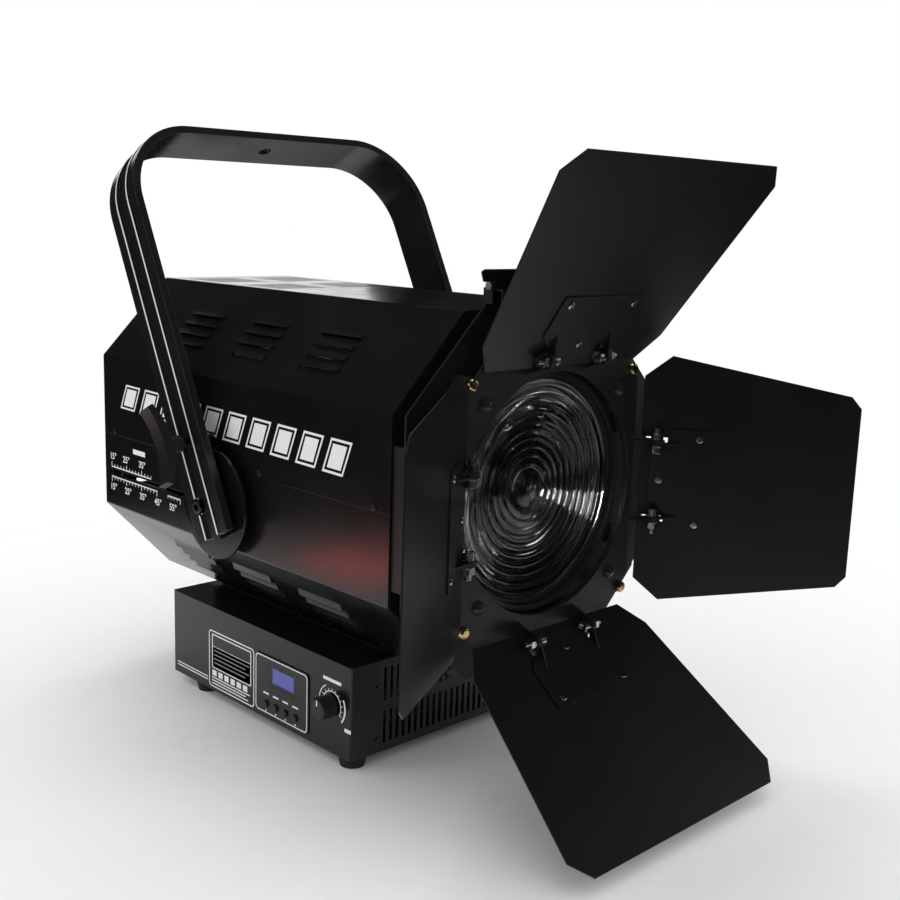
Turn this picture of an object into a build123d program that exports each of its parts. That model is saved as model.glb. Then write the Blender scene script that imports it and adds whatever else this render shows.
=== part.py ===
from build123d import *
import math
import os

# Fresnel spotlight on its own control base.  Millimetres, +Z up, beam along -Y, the lamp's left is -X.
# Origin: on the floor, midway between the four feet.

# ------------------------------------------------------------------ main sizes
AXIS_Z = 253.0            # height of the optical axis
HOUSE_FRONT = -219.0      # front face of the housing shell
HOUSE_REAR = 226.0
HOUSE_HALF_W = 153.0      # half the housing's width
SIDE_HALF_H = 77.0        # half the height of the upright side
FACET_X = 74.0            # sideways run of a sloping facet
FACET_Z = 77.0            # rise of a sloping facet
SHEET = 1.5               # housing sheet
SEAM_Z = 250.0            # lap seam between the two covers

BASE_HALF_W = 125.0
BASE_HALF_L = 143.0
BASE_BOTTOM = 10.0
BASE_TOP = 96.0
FOOT_R = 13.0

LENS_R = 98.5             # lens disc
LENS_OPEN_R = LENS_R - 4.5        # hole in the front panel behind the lens
LENS_RIM = HOUSE_FRONT - 12.0    # front of the lens at its rim
LENS_DISH = 6.5           # the ring tips fall back this far towards the middle
LENS_TUBE_FRONT = HOUSE_FRONT - 20.0
LENS_TUBE_R = LENS_R + 4.5       # outside of the lens tube
FLANGE_GAP = 12.0         # air gap between the housing and the front flange
FLANGE_T = 2.0
FLANGE_OPEN_R = LENS_TUBE_R + 1.5
FLANGE_HALF_W = HOUSE_HALF_W - 2.0
FLANGE_SIDE = SIDE_HALF_H + 1.0
FLANGE_FOOT = HOUSE_HALF_W - FACET_X - 1.0
FLANGE_DOWN = SIDE_HALF_H + FACET_Z - 3.0
WEB_LIP = 27.0            # a side web's return, where it lies on the housing

DOOR_Y = -250.0           # front face of the barn-door plate
DOOR_T = 2.0
DOOR_HALF = LENS_R + 19.5
DOOR_CHAMFER = 35.0
DOOR_OPEN_R = LENS_R + 5.5
HINGE_Y = -270.0          # barn-door hinge axes
HINGE_OFF = DOOR_HALF - 1.0         # from the optical axis
LUG_OUT = 37.0            # outer face of a frame lug, from the leaf's middle
LUG_T = 2.0
LUG_GAP = 0.3
LEAF_BACK = 7.0           # the leaf lies this far behind its hinge axis
LEAF_T = 1.2
BRACKET_T = 1.6
BOLT_R = 3.0

# opening angle of each leaf: 0 lies flat and open, 90 points along the beam
TOP_OPEN = 34.4
BOTTOM_OPEN = 51.7
RIGHT_OPEN = 56.6
LEFT_OPEN = 33.9

PIVOT_Y = 8.5
PIVOT_Z = 217.5
DISC_R = 50.0
YOKE_LEAN = 27.0
YOKE_HALF_W = HOUSE_HALF_W + 28.0   # to the outer face of an arm
YOKE_BAR_W = 50.0
YOKE_BAR_T = 8.0
YOKE_REACH = 364.0        # pivot to the outer face of the crossbar
YOKE_TAIL = 31.0
YOKE_OFFSET = 9.0         # the bar's centre line runs this far in front of the pivot
YOKE_BEND_R = 78.0
YOKE_HOLE_R = 6.5
HANDLE_S = 57.5           # tilt handle, from the pivot along the arm

KNOB_Y = 26.5 - BASE_HALF_L
KNOB_Z = 55.0

CARRIAGE_REST = 192.0     # rear limit of the zoom pointer (y)
SCREW_X = 0.0
SCREW_Z = 330.0
ROD_X = 88.0
ROD_Z = 300.0


# ------------------------------------------------------------------ helpers
def block(x0, x1, y0, y1, z0, z1):
    return Pos((x0 + x1) / 2, (y0 + y1) / 2, (z0 + z1) / 2) * Box(x1 - x0, y1 - y0, z1 - z0)


def rod(start, direction, length, radius):
    return extrude(Plane(origin=start, z_dir=direction) * Circle(radius), amount=length)


def tube(start, direction, length, outer, inner):
    return extrude(Plane(origin=start, z_dir=direction) * (Circle(outer) - Circle(inner)), amount=length)


def xz_plane(y):
    return Plane(origin=(0, y, 0), x_dir=(1, 0, 0), z_dir=(0, -1, 0))


def yz_plane(x):
    return Plane(origin=(x, 0, 0), x_dir=(0, 1, 0), z_dir=(1, 0, 0))


def xz_prism(points, y_front, y_back, radius=0.0):
    face = make_face(Polyline(*points, close=True))
    if radius:
        face = fillet(face.vertices(), radius)
    return extrude(xz_plane(y_back) * face, amount=y_back - y_front)


def octagon(half_w, side_half, facet_x, facet_z, centre=AXIS_Z):
    w, s, top, up = half_w, side_half, half_w - facet_x, side_half + facet_z
    return [(-w, centre - s), (-w, centre + s), (-top, centre + up), (top, centre + up),
            (w, centre + s), (w, centre - s), (top, centre - up), (-top, centre - up)]


def shell_octagon(inset, y_front, y_back, radius):
    k = math.tan(math.radians(22.5)) * inset
    pts = octagon(HOUSE_HALF_W - inset, SIDE_HALF_H - k, FACET_X - (inset - k), FACET_Z - (inset - k))
    return xz_prism(pts, y_front, y_back, radius)


def join(items):
    out = items[0]
    for item in items[1:]:
        out = out + item
    return out


NODES = {}


def add(name, *solids):
    """Put one or more solids into a node; identical fasteners share one."""
    NODES.setdefault(name, []).extend(solids)


# ------------------------------------------------------------------ housing covers
body_outer = shell_octagon(0.0, HOUSE_FRONT, HOUSE_REAR, 3.5)
body_inner = shell_octagon(SHEET, HOUSE_FRONT - 5, HOUSE_REAR + 5, 2.0)
ring = body_outer - body_inner
upper = ring & block(-200, 200, -260, 260, SEAM_Z + 0.15, 500)
lower = ring & block(-200, 200, -260, 260, 0, SEAM_Z - 0.15)

FACET_ANGLE = math.degrees(math.atan2(FACET_Z, FACET_X))


def facet_frame(side, upper_half, s, y):
    """Plane on a sloping facet: x along +Y or -Y, y up the slope, z outwards."""
    a = math.radians(FACET_ANGLE)
    if upper_half:
        x = side * (HOUSE_HALF_W - s * math.cos(a))
        z = AXIS_Z + SIDE_HALF_H + s * math.sin(a)
        normal = (side * math.sin(a), 0, math.cos(a))
    else:
        x = side * (HOUSE_HALF_W - s * math.cos(a))
        z = AXIS_Z - SIDE_HALF_H - s * math.sin(a)
        normal = (side * math.sin(a), 0, -math.cos(a))
    return Plane(origin=(x, y, z), x_dir=(0, 1, 0), z_dir=normal)


LOUVRE_Y = (102.0, 0.0, -102.0)
UPPER_ROWS = (31.0, 43.0, 55.0, 67.0)
LOWER_ROWS = (37.0, 48.5, 60.0, 71.5)


def louvre(plane, length, down):
    """One pressed louvre: a hood, its two ends, and the slot it covers.  down is +1 when local +y is downhill."""
    hood_pts = [(-3.0 * down, 3.2), (-3.0 * down, 2.1), (3.4 * down, -0.9), (5.2 * down, -0.2)]
    end_pts = [(-3.0 * down, -0.7), (-3.0 * down, 3.2), (5.0 * down, -0.1), (4.0 * down, -0.7)]

    def extr(pts, x0, x1):
        origin = plane.origin + plane.x_dir * x0
        p = Plane(origin=origin, x_dir=plane.y_dir, z_dir=plane.x_dir)
        # local x = plane y, local y = z_dir x x_dir = plane.x cross plane.y = plane normal
        return extrude(p * make_face(Polyline(*pts, close=True)), amount=x1 - x0)

    half = length / 2
    solid = extr(hood_pts, -half, half) + extr(end_pts, -half, -half + 1.2) + extr(end_pts, half - 1.2, half)
    cut = plane * (Pos(0, -0.2 * down, 0) * Box(length - 2.4, 5.4, 8))
    return solid, cut


upper_add, upper_cut, lower_add, lower_cut = [], [], [], []
for side in (-1, 1):
    for y in LOUVRE_Y:
        for s in UPPER_ROWS:
            pl = facet_frame(side, True, s, y)
            up_is_plus = pl.y_dir.Z > 0
            h, c = louvre(pl, 52.0, 1 if up_is_plus else -1)
            upper_add.append(h)
            upper_cut.append(c)
        for s in LOWER_ROWS:
            pl = facet_frame(side, False, s, y)
            up_is_plus = pl.y_dir.Z > 0
            h, c = louvre(pl, 60.0, 1 if up_is_plus else -1)
            lower_add.append(h)
            lower_cut.append(c)

# slotted vent groups in the top face
for cx in (-40.0, 40.0):
    for cy in (170.0, 72.0):
        for i in range(7):
            upper_cut.append(Pos(cx, cy - 27 + 9 * i, AXIS_Z + SIDE_HALF_H + FACET_Z) * extrude(
                SlotOverall(58, 4.0), amount=6, both=True))

COVER_SCREW_Y = (-200.0, -46.0, 108.0, 205.0)
COVER_SCREW_Z = SEAM_Z + 4.5
for side in (-1, 1):
    for y in COVER_SCREW_Y:
        upper_cut.append(rod((side * (HOUSE_HALF_W - 4), y, COVER_SCREW_Z), (side, 0, 0), 8, 1.7))
    # zoom pointer window
SCALE_Y0, SCALE_Y1 = 70.0, 216.0
lower_cut.append(block(-HOUSE_HALF_W - 3, -HOUSE_HALF_W + 4, SCALE_Y0, SCALE_Y1 + 0.5, 209.5, 213.5))
# wiring opening through the floor of the housing
lower_cut.append(rod((0, 30, 90), (0, 0, 1), 20, 22.0))
# pivot fixings
for side in (-1, 1):
    lower_cut.append(rod((side * (HOUSE_HALF_W - 5), PIVOT_Y, PIVOT_Z), (side, 0, 0), 10, 9.0))

upper = (upper - upper_cut) + upper_add
lower = (lower - lower_cut) + lower_add
add("upper_cover", upper)
add("lower_cover", lower)

# lap strips behind the seams
for side, tag in ((-1, "left"), (1, "right")):
    x_out = side * (HOUSE_HALF_W - SHEET)
    x_in = side * (HOUSE_HALF_W - SHEET - 1.5)
    x0, x1 = sorted((x_out, x_in))
    strip = block(x0, x1, HOUSE_FRONT + 3, HOUSE_REAR - 3, SEAM_Z - 14, SEAM_Z + 14)
    strip -= [rod((side * (HOUSE_HALF_W - 6), y, COVER_SCREW_Z), (side, 0, 0), 8, 1.5) for y in COVER_SCREW_Y]
    add("inner_brackets", strip)
    screws = []
    for y in COVER_SCREW_Y:
        shank = rod((side * (HOUSE_HALF_W - 7), y, COVER_SCREW_Z), (side, 0, 0), 7.0, 1.5)
        head = rod((side * HOUSE_HALF_W, y, COVER_SCREW_Z), (side, 0, 0), 1.6, 2.9)
        head = fillet(head.faces().sort_by(Axis.X)[-1 if side > 0 else 0].edges(), 0.9)
        head -= Pos(side * (HOUSE_HALF_W + 1.6), y, COVER_SCREW_Z) * (Box(1.4, 0.8, 3.6) + Box(1.4, 3.6, 0.8))
        screws.append(shank + head)
    add("case_screws", *screws)

# ------------------------------------------------------------------ front and rear panels
front_panel = shell_octagon(SHEET, HOUSE_FRONT, HOUSE_FRONT + 2.0, 2.0)
rim = shell_octagon(SHEET, HOUSE_FRONT + 2.0, HOUSE_FRONT + 14.0, 2.0) - shell_octagon(
    SHEET + 1.5, HOUSE_FRONT + 2.0, HOUSE_FRONT + 15.0, 1.0)
front_panel = front_panel + rim
front_panel -= rod((0, HOUSE_FRONT - 5, AXIS_Z), (0, 1, 0), 20, LENS_OPEN_R)
# the lap strips pass through the rim
front_panel -= block(-HOUSE_HALF_W, -HOUSE_HALF_W + 3.2, HOUSE_FRONT + 2.5, HOUSE_FRONT + 20, SEAM_Z - 14.3, SEAM_Z + 14.3)
front_panel -= block(HOUSE_HALF_W - 3.2, HOUSE_HALF_W, HOUSE_FRONT + 2.5, HOUSE_FRONT + 20, SEAM_Z - 14.3, SEAM_Z + 14.3)
add("front_panel", front_panel)

rear_panel = shell_octagon(SHEET, HOUSE_REAR - 2.0, HOUSE_REAR, 2.0)
rear_rim = shell_octagon(SHEET, HOUSE_REAR - 14.0, HOUSE_REAR - 2.0, 2.0) - shell_octagon(
    SHEET + 1.5, HOUSE_REAR - 15.0, HOUSE_REAR - 2.0, 1.0)
rear_panel = rear_panel + rear_rim
for sx in (-1, 1):
    x0, x1 = sorted((sx * HOUSE_HALF_W, sx * (HOUSE_HALF_W - 3.2)))
    rear_panel -= block(x0, x1, HOUSE_REAR - 20, HOUSE_REAR - 2.5, SEAM_Z - 14.3, SEAM_Z + 14.3)
FAN_HOLE_Z = 236.0
rear_cuts = []
for ring_r, width in ((52.0, 5.0), (42.0, 5.0), (32.0, 5.0), (22.0, 5.0)):
    ann = extrude(xz_plane(HOUSE_REAR + 3) * (Pos(0, FAN_HOLE_Z) * (Circle(ring_r) - Circle(ring_r - width))), amount=10)
    ann -= Pos(0, HOUSE_REAR, FAN_HOLE_Z) * (Box(6, 30, 130) + Box(130, 30, 6))
    rear_cuts.append(ann)
rear_cuts.append(rod((SCREW_X, HOUSE_REAR - 6, SCREW_Z), (0, 1, 0), 12, 8.0))
for x in (-100.0, 100.0):
    for i in range(6):
        rear_cuts.append(Pos(x, HOUSE_REAR, 195 + 14 * i) * Box(38, 10, 4.5))
rear_panel -= rear_cuts
add("rear_panel", rear_panel)
rear_screws = []
for x, z in ((-60, AXIS_Z + 142), (60, AXIS_Z + 142), (-60, AXIS_Z - 142), (60, AXIS_Z - 142),
             (-141, AXIS_Z + 50), (141, AXIS_Z + 50), (-141, AXIS_Z - 50), (141, AXIS_Z - 50)):
    head = rod((x, HOUSE_REAR, z), (0, 1, 0), 1.8, 3.2)
    head = fillet(head.faces().sort_by(Axis.Y)[-1].edges(), 1.0)
    rear_screws.append(head - Pos(x, HOUSE_REAR + 1.8, z) * (Box(4, 1.6, 0.9) + Box(0.9, 1.6, 4)))
add("case_screws", *rear_screws)

# ------------------------------------------------------------------ lens
RINGS = 10
BULLSEYE_R = 20.0
LENS_BACK = HOUSE_FRONT
ring_w = (LENS_R - 2.5 - BULLSEYE_R) / RINGS


def lens_tip(radius):
    """Front of a ring's tip: a shallow dish from the rim to the middle."""
    t = (LENS_R - radius) / LENS_R
    return LENS_RIM + LENS_DISH * t ** 0.8


profile = [(0.0, LENS_BACK), (LENS_R, LENS_BACK), (LENS_R, LENS_RIM), (LENS_R - 2.5, LENS_RIM)]
r = LENS_R - 2.5
for i in range(RINGS):
    r_in = r - ring_w
    drop = 1.0 + 2.2 * (r - BULLSEYE_R) / (LENS_R - BULLSEYE_R)
    tip = lens_tip(r_in)
    profile += [(r, tip + drop), (r - ring_w * 0.5, tip + drop * 0.42), (r_in + 0.25, tip)]
    r = r_in
for k in range(7):
    rr = BULLSEYE_R * (1 - k / 6)
    profile.append((rr, lens_tip(BULLSEYE_R) + 2.6 - 3.4 * (1 - (rr / BULLSEYE_R) ** 2)))
lens_plane = Plane(origin=(0, 0, AXIS_Z), x_dir=(1, 0, 0), z_dir=(0, 0, 1))
add("lens", revolve(lens_plane * make_face(Polyline(*profile, close=True)), Axis((0, 0, AXIS_Z), (0, 1, 0)), 360))
lens_tube = tube((0, HOUSE_FRONT, AXIS_Z), (0, -1, 0), HOUSE_FRONT - LENS_TUBE_FRONT, LENS_TUBE_R, LENS_R + 0.3)
lens_tube += tube((0, HOUSE_FRONT, AXIS_Z), (0, -1, 0), 2.0, LENS_TUBE_R + 7.0, LENS_R + 0.3)
add("lens_tube", lens_tube)
add("lens_tube", tube((0, LENS_RIM, AXIS_Z), (0, -1, 0), 2.2, LENS_R + 0.2, LENS_R - 3.0))
add("seals", tube((0, HOUSE_FRONT + 2.0, AXIS_Z), (0, 1, 0), 2.0, LENS_R + 4.0, LENS_OPEN_R + 1.0))

# ------------------------------------------------------------------ front flange
FL_BACK = HOUSE_FRONT - FLANGE_GAP
FL_FRONT = FL_BACK - FLANGE_T
TONGUE_HALF = 71.0
TONGUE_TOP = AXIS_Z + 173.0
fl_pts = [(-FLANGE_HALF_W, AXIS_Z - FLANGE_SIDE), (-FLANGE_HALF_W, AXIS_Z + FLANGE_SIDE), (-TONGUE_HALF - 7, AXIS_Z + 151), (-TONGUE_HALF, AXIS_Z + 158),
          (-TONGUE_HALF, TONGUE_TOP), (TONGUE_HALF, TONGUE_TOP), (TONGUE_HALF, AXIS_Z + 158),
          (TONGUE_HALF + 7, AXIS_Z + 151), (FLANGE_HALF_W, AXIS_Z + FLANGE_SIDE), (FLANGE_HALF_W, AXIS_Z - FLANGE_SIDE), (FLANGE_FOOT, AXIS_Z - FLANGE_DOWN), (-FLANGE_FOOT, AXIS_Z - FLANGE_DOWN)]
flange = xz_prism(fl_pts, FL_FRONT, FL_BACK)
flange -= rod((0, FL_FRONT - 5, AXIS_Z), (0, 1, 0), 12, FLANGE_OPEN_R)
WEB_T = 2.0
webs = [block(-60, 60, FL_BACK, HOUSE_FRONT, AXIS_Z - FLANGE_DOWN, AXIS_Z - FLANGE_DOWN + WEB_T),
        block(-60, 60, HOUSE_FRONT - 1.5, HOUSE_FRONT, AXIS_Z - FLANGE_DOWN + WEB_T, AXIS_Z - FLANGE_DOWN + WEB_LIP)]
for side in (-1, 1):
    webs.append(block(*sorted((side * FLANGE_HALF_W, side * (FLANGE_HALF_W - WEB_T))), FL_BACK, HOUSE_FRONT, AXIS_Z - 63, AXIS_Z + 53))
    webs.append(block(*sorted((side * (FLANGE_HALF_W - WEB_T), side * (FLANGE_HALF_W - WEB_LIP))), HOUSE_FRONT - 1.5, HOUSE_FRONT, AXIS_Z - 63, AXIS_Z + 53))
flange = join([flange] + webs)
POST = 100.0
post_xz = [(sx * POST, AXIS_Z + sz * POST) for sx in (-1, 1) for sz in (-1, 1)]
flange -= [rod((x, FL_FRONT - 3, z), (0, 1, 0), 8, 2.6) for x, z in post_xz]
# ears that carry the gate's pin
GATE_Y = FL_FRONT - 5.0
GATE_Z = AXIS_Z + 174.5
GATE_PIN_R = 2.0
for side in (-1, 1):
    x0, x1 = sorted((side * TONGUE_HALF, side * (TONGUE_HALF - 2.0)))
    ear = block(x0, x1, GATE_Y, FL_FRONT, GATE_Z - 14, GATE_Z + 2) + rod((x0, GATE_Y, GATE_Z), (1, 0, 0), 2.0, 4.5)
    ear += block(x0, x1, GATE_Y - 3.0, FL_FRONT, GATE_Z - 14, GATE_Z)
    flange = flange + ear
flange -= rod((-TONGUE_HALF - 5, GATE_Y, GATE_Z), (1, 0, 0), 2 * TONGUE_HALF + 10, GATE_PIN_R + 0.06)
# rails at the bottom and the sides guide a colour frame
for side in (-1, 1):
    x0, x1 = sorted((side * 96.0, side * 94.0))
    flange = flange + block(x0, x1, FL_FRONT - 9.0, FL_FRONT, AXIS_Z - 60, AXIS_Z + 60)
flange = flange + block(-70, 70, FL_FRONT - 9.0, FL_FRONT, AXIS_Z - 115, AXIS_Z - 113)
flange -= rod((0, FL_FRONT - 15, AXIS_Z), (0, 1, 0), 30, FLANGE_OPEN_R)
add("front_flange", flange)

POST_LEN = FL_FRONT - (DOOR_Y + DOOR_T)
add("spacer_posts", *[tube((x, FL_FRONT, z), (0, -1, 0), POST_LEN, 6.0, 2.5) for x, z in post_xz])
for x, z in post_xz:
    screw = rod((x, FL_BACK + 2.0, z), (0, -1, 0), FL_BACK + 2.0 - DOOR_Y, 2.5)
    head = rod((x, DOOR_Y, z), (0, -1, 0), 4.5, 5.0)
    head = fillet(head.faces().sort_by(Axis.Y)[0].edges(), 2.2)
    add("post_screws", screw + head + rod((x, FL_BACK, z), (0, 1, 0), 2.0, 4.5))

# ------------------------------------------------------------------ barn-door plate
c = DOOR_CHAMFER
h = DOOR_HALF
door_pts = [(-h, AXIS_Z - h + c), (-h, AXIS_Z + h - c), (-h + c, AXIS_Z + h), (h - c, AXIS_Z + h),
            (h, AXIS_Z + h - c), (h, AXIS_Z - h + c), (h - c, AXIS_Z - h), (-h + c, AXIS_Z - h)]
door = xz_prism(door_pts, DOOR_Y, DOOR_Y + DOOR_T)
door -= rod((0, DOOR_Y - 5, AXIS_Z), (0, 1, 0), 12, DOOR_OPEN_R)
door -= [rod((x, DOOR_Y - 3, z), (0, 1, 0), 8, 2.5) for x, z in post_xz]
DOME_AT = 83.0
dome_xz = [(sx * DOME_AT, AXIS_Z + sz * DOME_AT) for sx in (-1, 1) for sz in (-1, 1)]
door -= [rod((x, DOOR_Y - 3, z), (0, 1, 0), 8, 2.0) for x, z in dome_xz]


def around(shape, angle):
    """Turn a shape made for the top edge to another edge, then lift it to the optical axis."""
    return Pos(0, 0, AXIS_Z) * Rot(0, angle, 0) * shape


def yz_plate(x0, x1, points):
    return extrude(yz_plane(x0) * make_face(Polyline(*points, close=True)), amount=x1 - x0)


SIDES = (("top", 0.0), ("right", 90.0), ("bottom", 180.0), ("left", 270.0))
for s in (-1, 1):
    x0, x1 = sorted((s * LUG_OUT, s * (LUG_OUT - LUG_T)))
    lug = yz_plate(x0, x1, [(DOOR_Y + DOOR_T, DOOR_HALF - 14), (DOOR_Y, DOOR_HALF - 14), (HINGE_Y + 3, HINGE_OFF - 6.9),
                            (HINGE_Y, HINGE_OFF - 7), (HINGE_Y, HINGE_OFF + 7), (HINGE_Y + 4, HINGE_OFF + 6.6),
                            (DOOR_Y, DOOR_HALF), (DOOR_Y + DOOR_T, DOOR_HALF)])
    lug += rod((x0, HINGE_Y, HINGE_OFF), (1, 0, 0), LUG_T, 7.0)
    lug -= rod((x0 - 1, HINGE_Y, HINGE_OFF), (1, 0, 0), LUG_T + 2, BOLT_R + 0.05)
    for name, angle in SIDES:
        door = door + around(lug, angle)
add("door_plate", door)
add("door_plate", tube((0, DOOR_Y + DOOR_T, AXIS_Z), (0, 1, 0), 4.0, DOOR_OPEN_R + 2.5, DOOR_OPEN_R))
for x, z in dome_xz:
    head = Pos(x, DOOR_Y + 1.6, z) * Sphere(6.6) & block(x - 10, x + 10, DOOR_Y - 6, DOOR_Y, z - 10, z + 10)
    add("door_screws", rod((x, DOOR_Y + 7.0, z), (0, -1, 0), 7.5, 2.0) + head + rod((x, DOOR_Y + DOOR_T, z), (0, 1, 0), 3.2, 4.0))

# ------------------------------------------------------------------ the four leaves
WIDE_LEAF = [(92.5, -13.5), (110.5, 12.0), (133.0, 167.0), (117.0, 185.0)]
RIGHT_LEAF = [(93.0, -14.5), (112.0, 9.0), (85.0, 163.0), (75.0, 171.5)]
LEFT_LEAF = [(93.0, -14.5), (112.0, 9.0), (93.5, 168.0), (84.5, 178.0)]
WIDE_BRACKET = (49.0, 20.0, 59.0)     # half width, start of the full width, far end
SIDE_BRACKET = (47.0, 13.0, 45.0)
LEAF_LUG_OUT = LUG_OUT - LUG_T - LUG_GAP


def make_leaf(name, angle, opened, outline, bracket_size):
    th = math.radians(opened)
    away = Vector(0, -math.sin(th), math.cos(th))        # from the hinge to the free end
    beam = Vector(0, -math.cos(th), -math.sin(th))       # towards the beam
    hinge = Vector(0, HINGE_Y, HINGE_OFF)
    sheet = Plane(origin=hinge - beam * LEAF_BACK, x_dir=(1, 0, 0), z_dir=-beam)
    flip = 1 if sheet.y_dir.dot(away) > 0 else -1
    half = [(x, flip * y) for x, y in outline]
    plate = extrude(sheet * make_face(Polyline(*([(-x, y) for x, y in half] + half[::-1]), close=True)), amount=LEAF_T)
    for s in (-1, 1):
        plate -= sheet * (Pos(s * (LUG_OUT - LUG_T / 2), flip * -4.0, 0) * Box(5.5, 30, 8))
    bw, b0, b1 = bracket_size
    tab = BOLT_R + 4.0
    br_half = [(29.0, -6.0), (29.0, 9.0), (38.0, 9.0), (bw, b0), (bw, b1)]
    br_half = [(x, flip * y) for x, y in br_half]
    bracket = extrude(sheet * make_face(Polyline(*([(-x, y) for x, y in br_half] + br_half[::-1]), close=True)), amount=-BRACKET_T)
    for s in (-1, 1):
        a, b = sorted((s * LEAF_LUG_OUT, s * (LEAF_LUG_OUT - LUG_T)))
        q = [hinge - beam * LEAF_BACK + away * 9.2, hinge - beam * LEAF_BACK + away * 22.0,
             hinge - beam * (LEAF_BACK - BRACKET_T) + away * 22.0, hinge + beam * 3.0 + away * 6.3,
             hinge + beam * 0.5 + away * 2.0, hinge - beam * 3.0 + away * 6.3]
        arm = yz_plate(a, b, [(v.Y, v.Z) for v in q])
        eye = rod((a, HINGE_Y, HINGE_OFF), (1, 0, 0), b - a, 7.0)
        eye -= Plane(origin=hinge - beam * (LEAF_BACK - BRACKET_T + 0.2), x_dir=(1, 0, 0), z_dir=-beam) * (
            Pos((a + b) / 2, 0, 5) * Box(6, 40, 10))
        bracket = bracket + arm + eye
    for s in (-1, 1):
        bracket -= rod((s * 20, HINGE_Y, HINGE_OFF), (s, 0, 0), 30, BOLT_R)
    rivet_at = [(-39.0, b1 - 8.0), (39.0, b1 - 8.0), (0.0, max(b0 - 10.0, 3.0))]
    for x, y in rivet_at:
        hole = sheet * (Pos(x, flip * y, 0) * Cylinder(2.0, 20))
        plate -= hole
        bracket -= hole
    parts = []
    for x, y in rivet_at:
        one = Pos(x, flip * y, -BRACKET_T) * Cylinder(2.0, LEAF_T + BRACKET_T, align=(Align.CENTER, Align.CENTER, Align.MIN))
        face = Pos(x, flip * y, -BRACKET_T) * Cylinder(3.3, 1.3, align=(Align.CENTER, Align.CENTER, Align.MAX))
        face = fillet(face.faces().sort_by(Axis.Z)[0].edges(), 0.9)
        back = Pos(x, flip * y, LEAF_T) * Cylinder(3.3, 0.9, align=(Align.CENTER, Align.CENTER, Align.MIN))
        parts.append(sheet * (one + face + back))
    for s in (-1, 1):
        # head and washer inside, nut and washer outside the pair of lugs
        x_in = s * (LEAF_LUG_OUT - LUG_T)
        bolt = rod((x_in, HINGE_Y, HINGE_OFF), (s, 0, 0), 15.5, BOLT_R)
        bolt += rod((x_in, HINGE_Y, HINGE_OFF), (-s, 0, 0), 1.4, 5.2)
        head = rod((x_in - s * 1.4, HINGE_Y, HINGE_OFF), (-s, 0, 0), 6.0, 5.0)
        sock = Plane(origin=(x_in - s * 7.4, HINGE_Y, HINGE_OFF), z_dir=(s, 0, 0)) * RegularPolygon(2.9, 6)
        head -= extrude(sock, amount=3.0)
        x_nut = s * (LUG_OUT + LUG_GAP)
        bolt += tube((x_nut, HINGE_Y, HINGE_OFF), (s, 0, 0), 1.0, 5.4, BOLT_R - 0.5)
        nut = extrude(Plane(origin=(x_nut + s, HINGE_Y, HINGE_OFF), z_dir=(s, 0, 0)) * RegularPolygon(5.6, 6), amount=5.0)
        parts.append(bolt + head + nut)
    add(f"leaf_{name}_plate", around(plate, angle))
    add(f"leaf_{name}_bracket", around(bracket, angle))
    add(f"leaf_{name}_fasteners", *[around(p, angle) for p in parts])


make_leaf("top", 0.0, TOP_OPEN, WIDE_LEAF, WIDE_BRACKET)
make_leaf("right", 90.0, RIGHT_OPEN, RIGHT_LEAF, SIDE_BRACKET)
make_leaf("bottom", 180.0, BOTTOM_OPEN, WIDE_LEAF, WIDE_BRACKET)
make_leaf("left", 270.0, LEFT_OPEN, LEFT_LEAF, SIDE_BRACKET)

# ------------------------------------------------------------------ gate over the colour-frame slot
GATE_IN = TONGUE_HALF - 2.6
LIP_HALF = 90.0
barrel = tube((-GATE_IN, GATE_Y, GATE_Z), (1, 0, 0), 2 * GATE_IN, 3.6, GATE_PIN_R)
lean_lip = math.radians(32.0)
lip_plane = Plane(origin=(0, GATE_Y - 1.0, GATE_Z), x_dir=(1, 0, 0), z_dir=(0, -math.cos(lean_lip), -math.sin(lean_lip)))
lf = 1 if lip_plane.y_dir.Z > 0 else -1
lip_pts = [(-GATE_IN, 0), (-GATE_IN, 4.9), (-LIP_HALF + 7, 4.9), (-LIP_HALF, 13.5), (-LIP_HALF + 2, 16.0),
           (LIP_HALF - 2, 16.0), (LIP_HALF, 13.5), (LIP_HALF - 7, 4.9), (GATE_IN, 4.9), (GATE_IN, 0)]
lip = extrude(lip_plane * make_face(Polyline(*[(x, lf * y) for x, y in lip_pts], close=True)), amount=1.5)
nose = block(-GATE_IN, GATE_IN, DOOR_Y + 0.5, GATE_Y, GATE_Z - 3.6, GATE_Z - 2.1)
nose += block(-GATE_IN, GATE_IN, DOOR_Y + 0.5, DOOR_Y + 2.0, GATE_Z - 12.0, GATE_Z - 3.6)
gate = barrel + lip + nose
gate -= rod((-GATE_IN - 5, GATE_Y, GATE_Z), (1, 0, 0), 2 * GATE_IN + 10, GATE_PIN_R)
add("gate", gate)
pin = rod((-TONGUE_HALF - 1.5, GATE_Y, GATE_Z), (1, 0, 0), 2 * TONGUE_HALF + 3.0, GATE_PIN_R)
for side in (-1, 1):
    pin += rod((side * (TONGUE_HALF + 0.5), GATE_Y, GATE_Z), (side, 0, 0), 1.6, 3.2)
add("gate_pin", pin)

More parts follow.
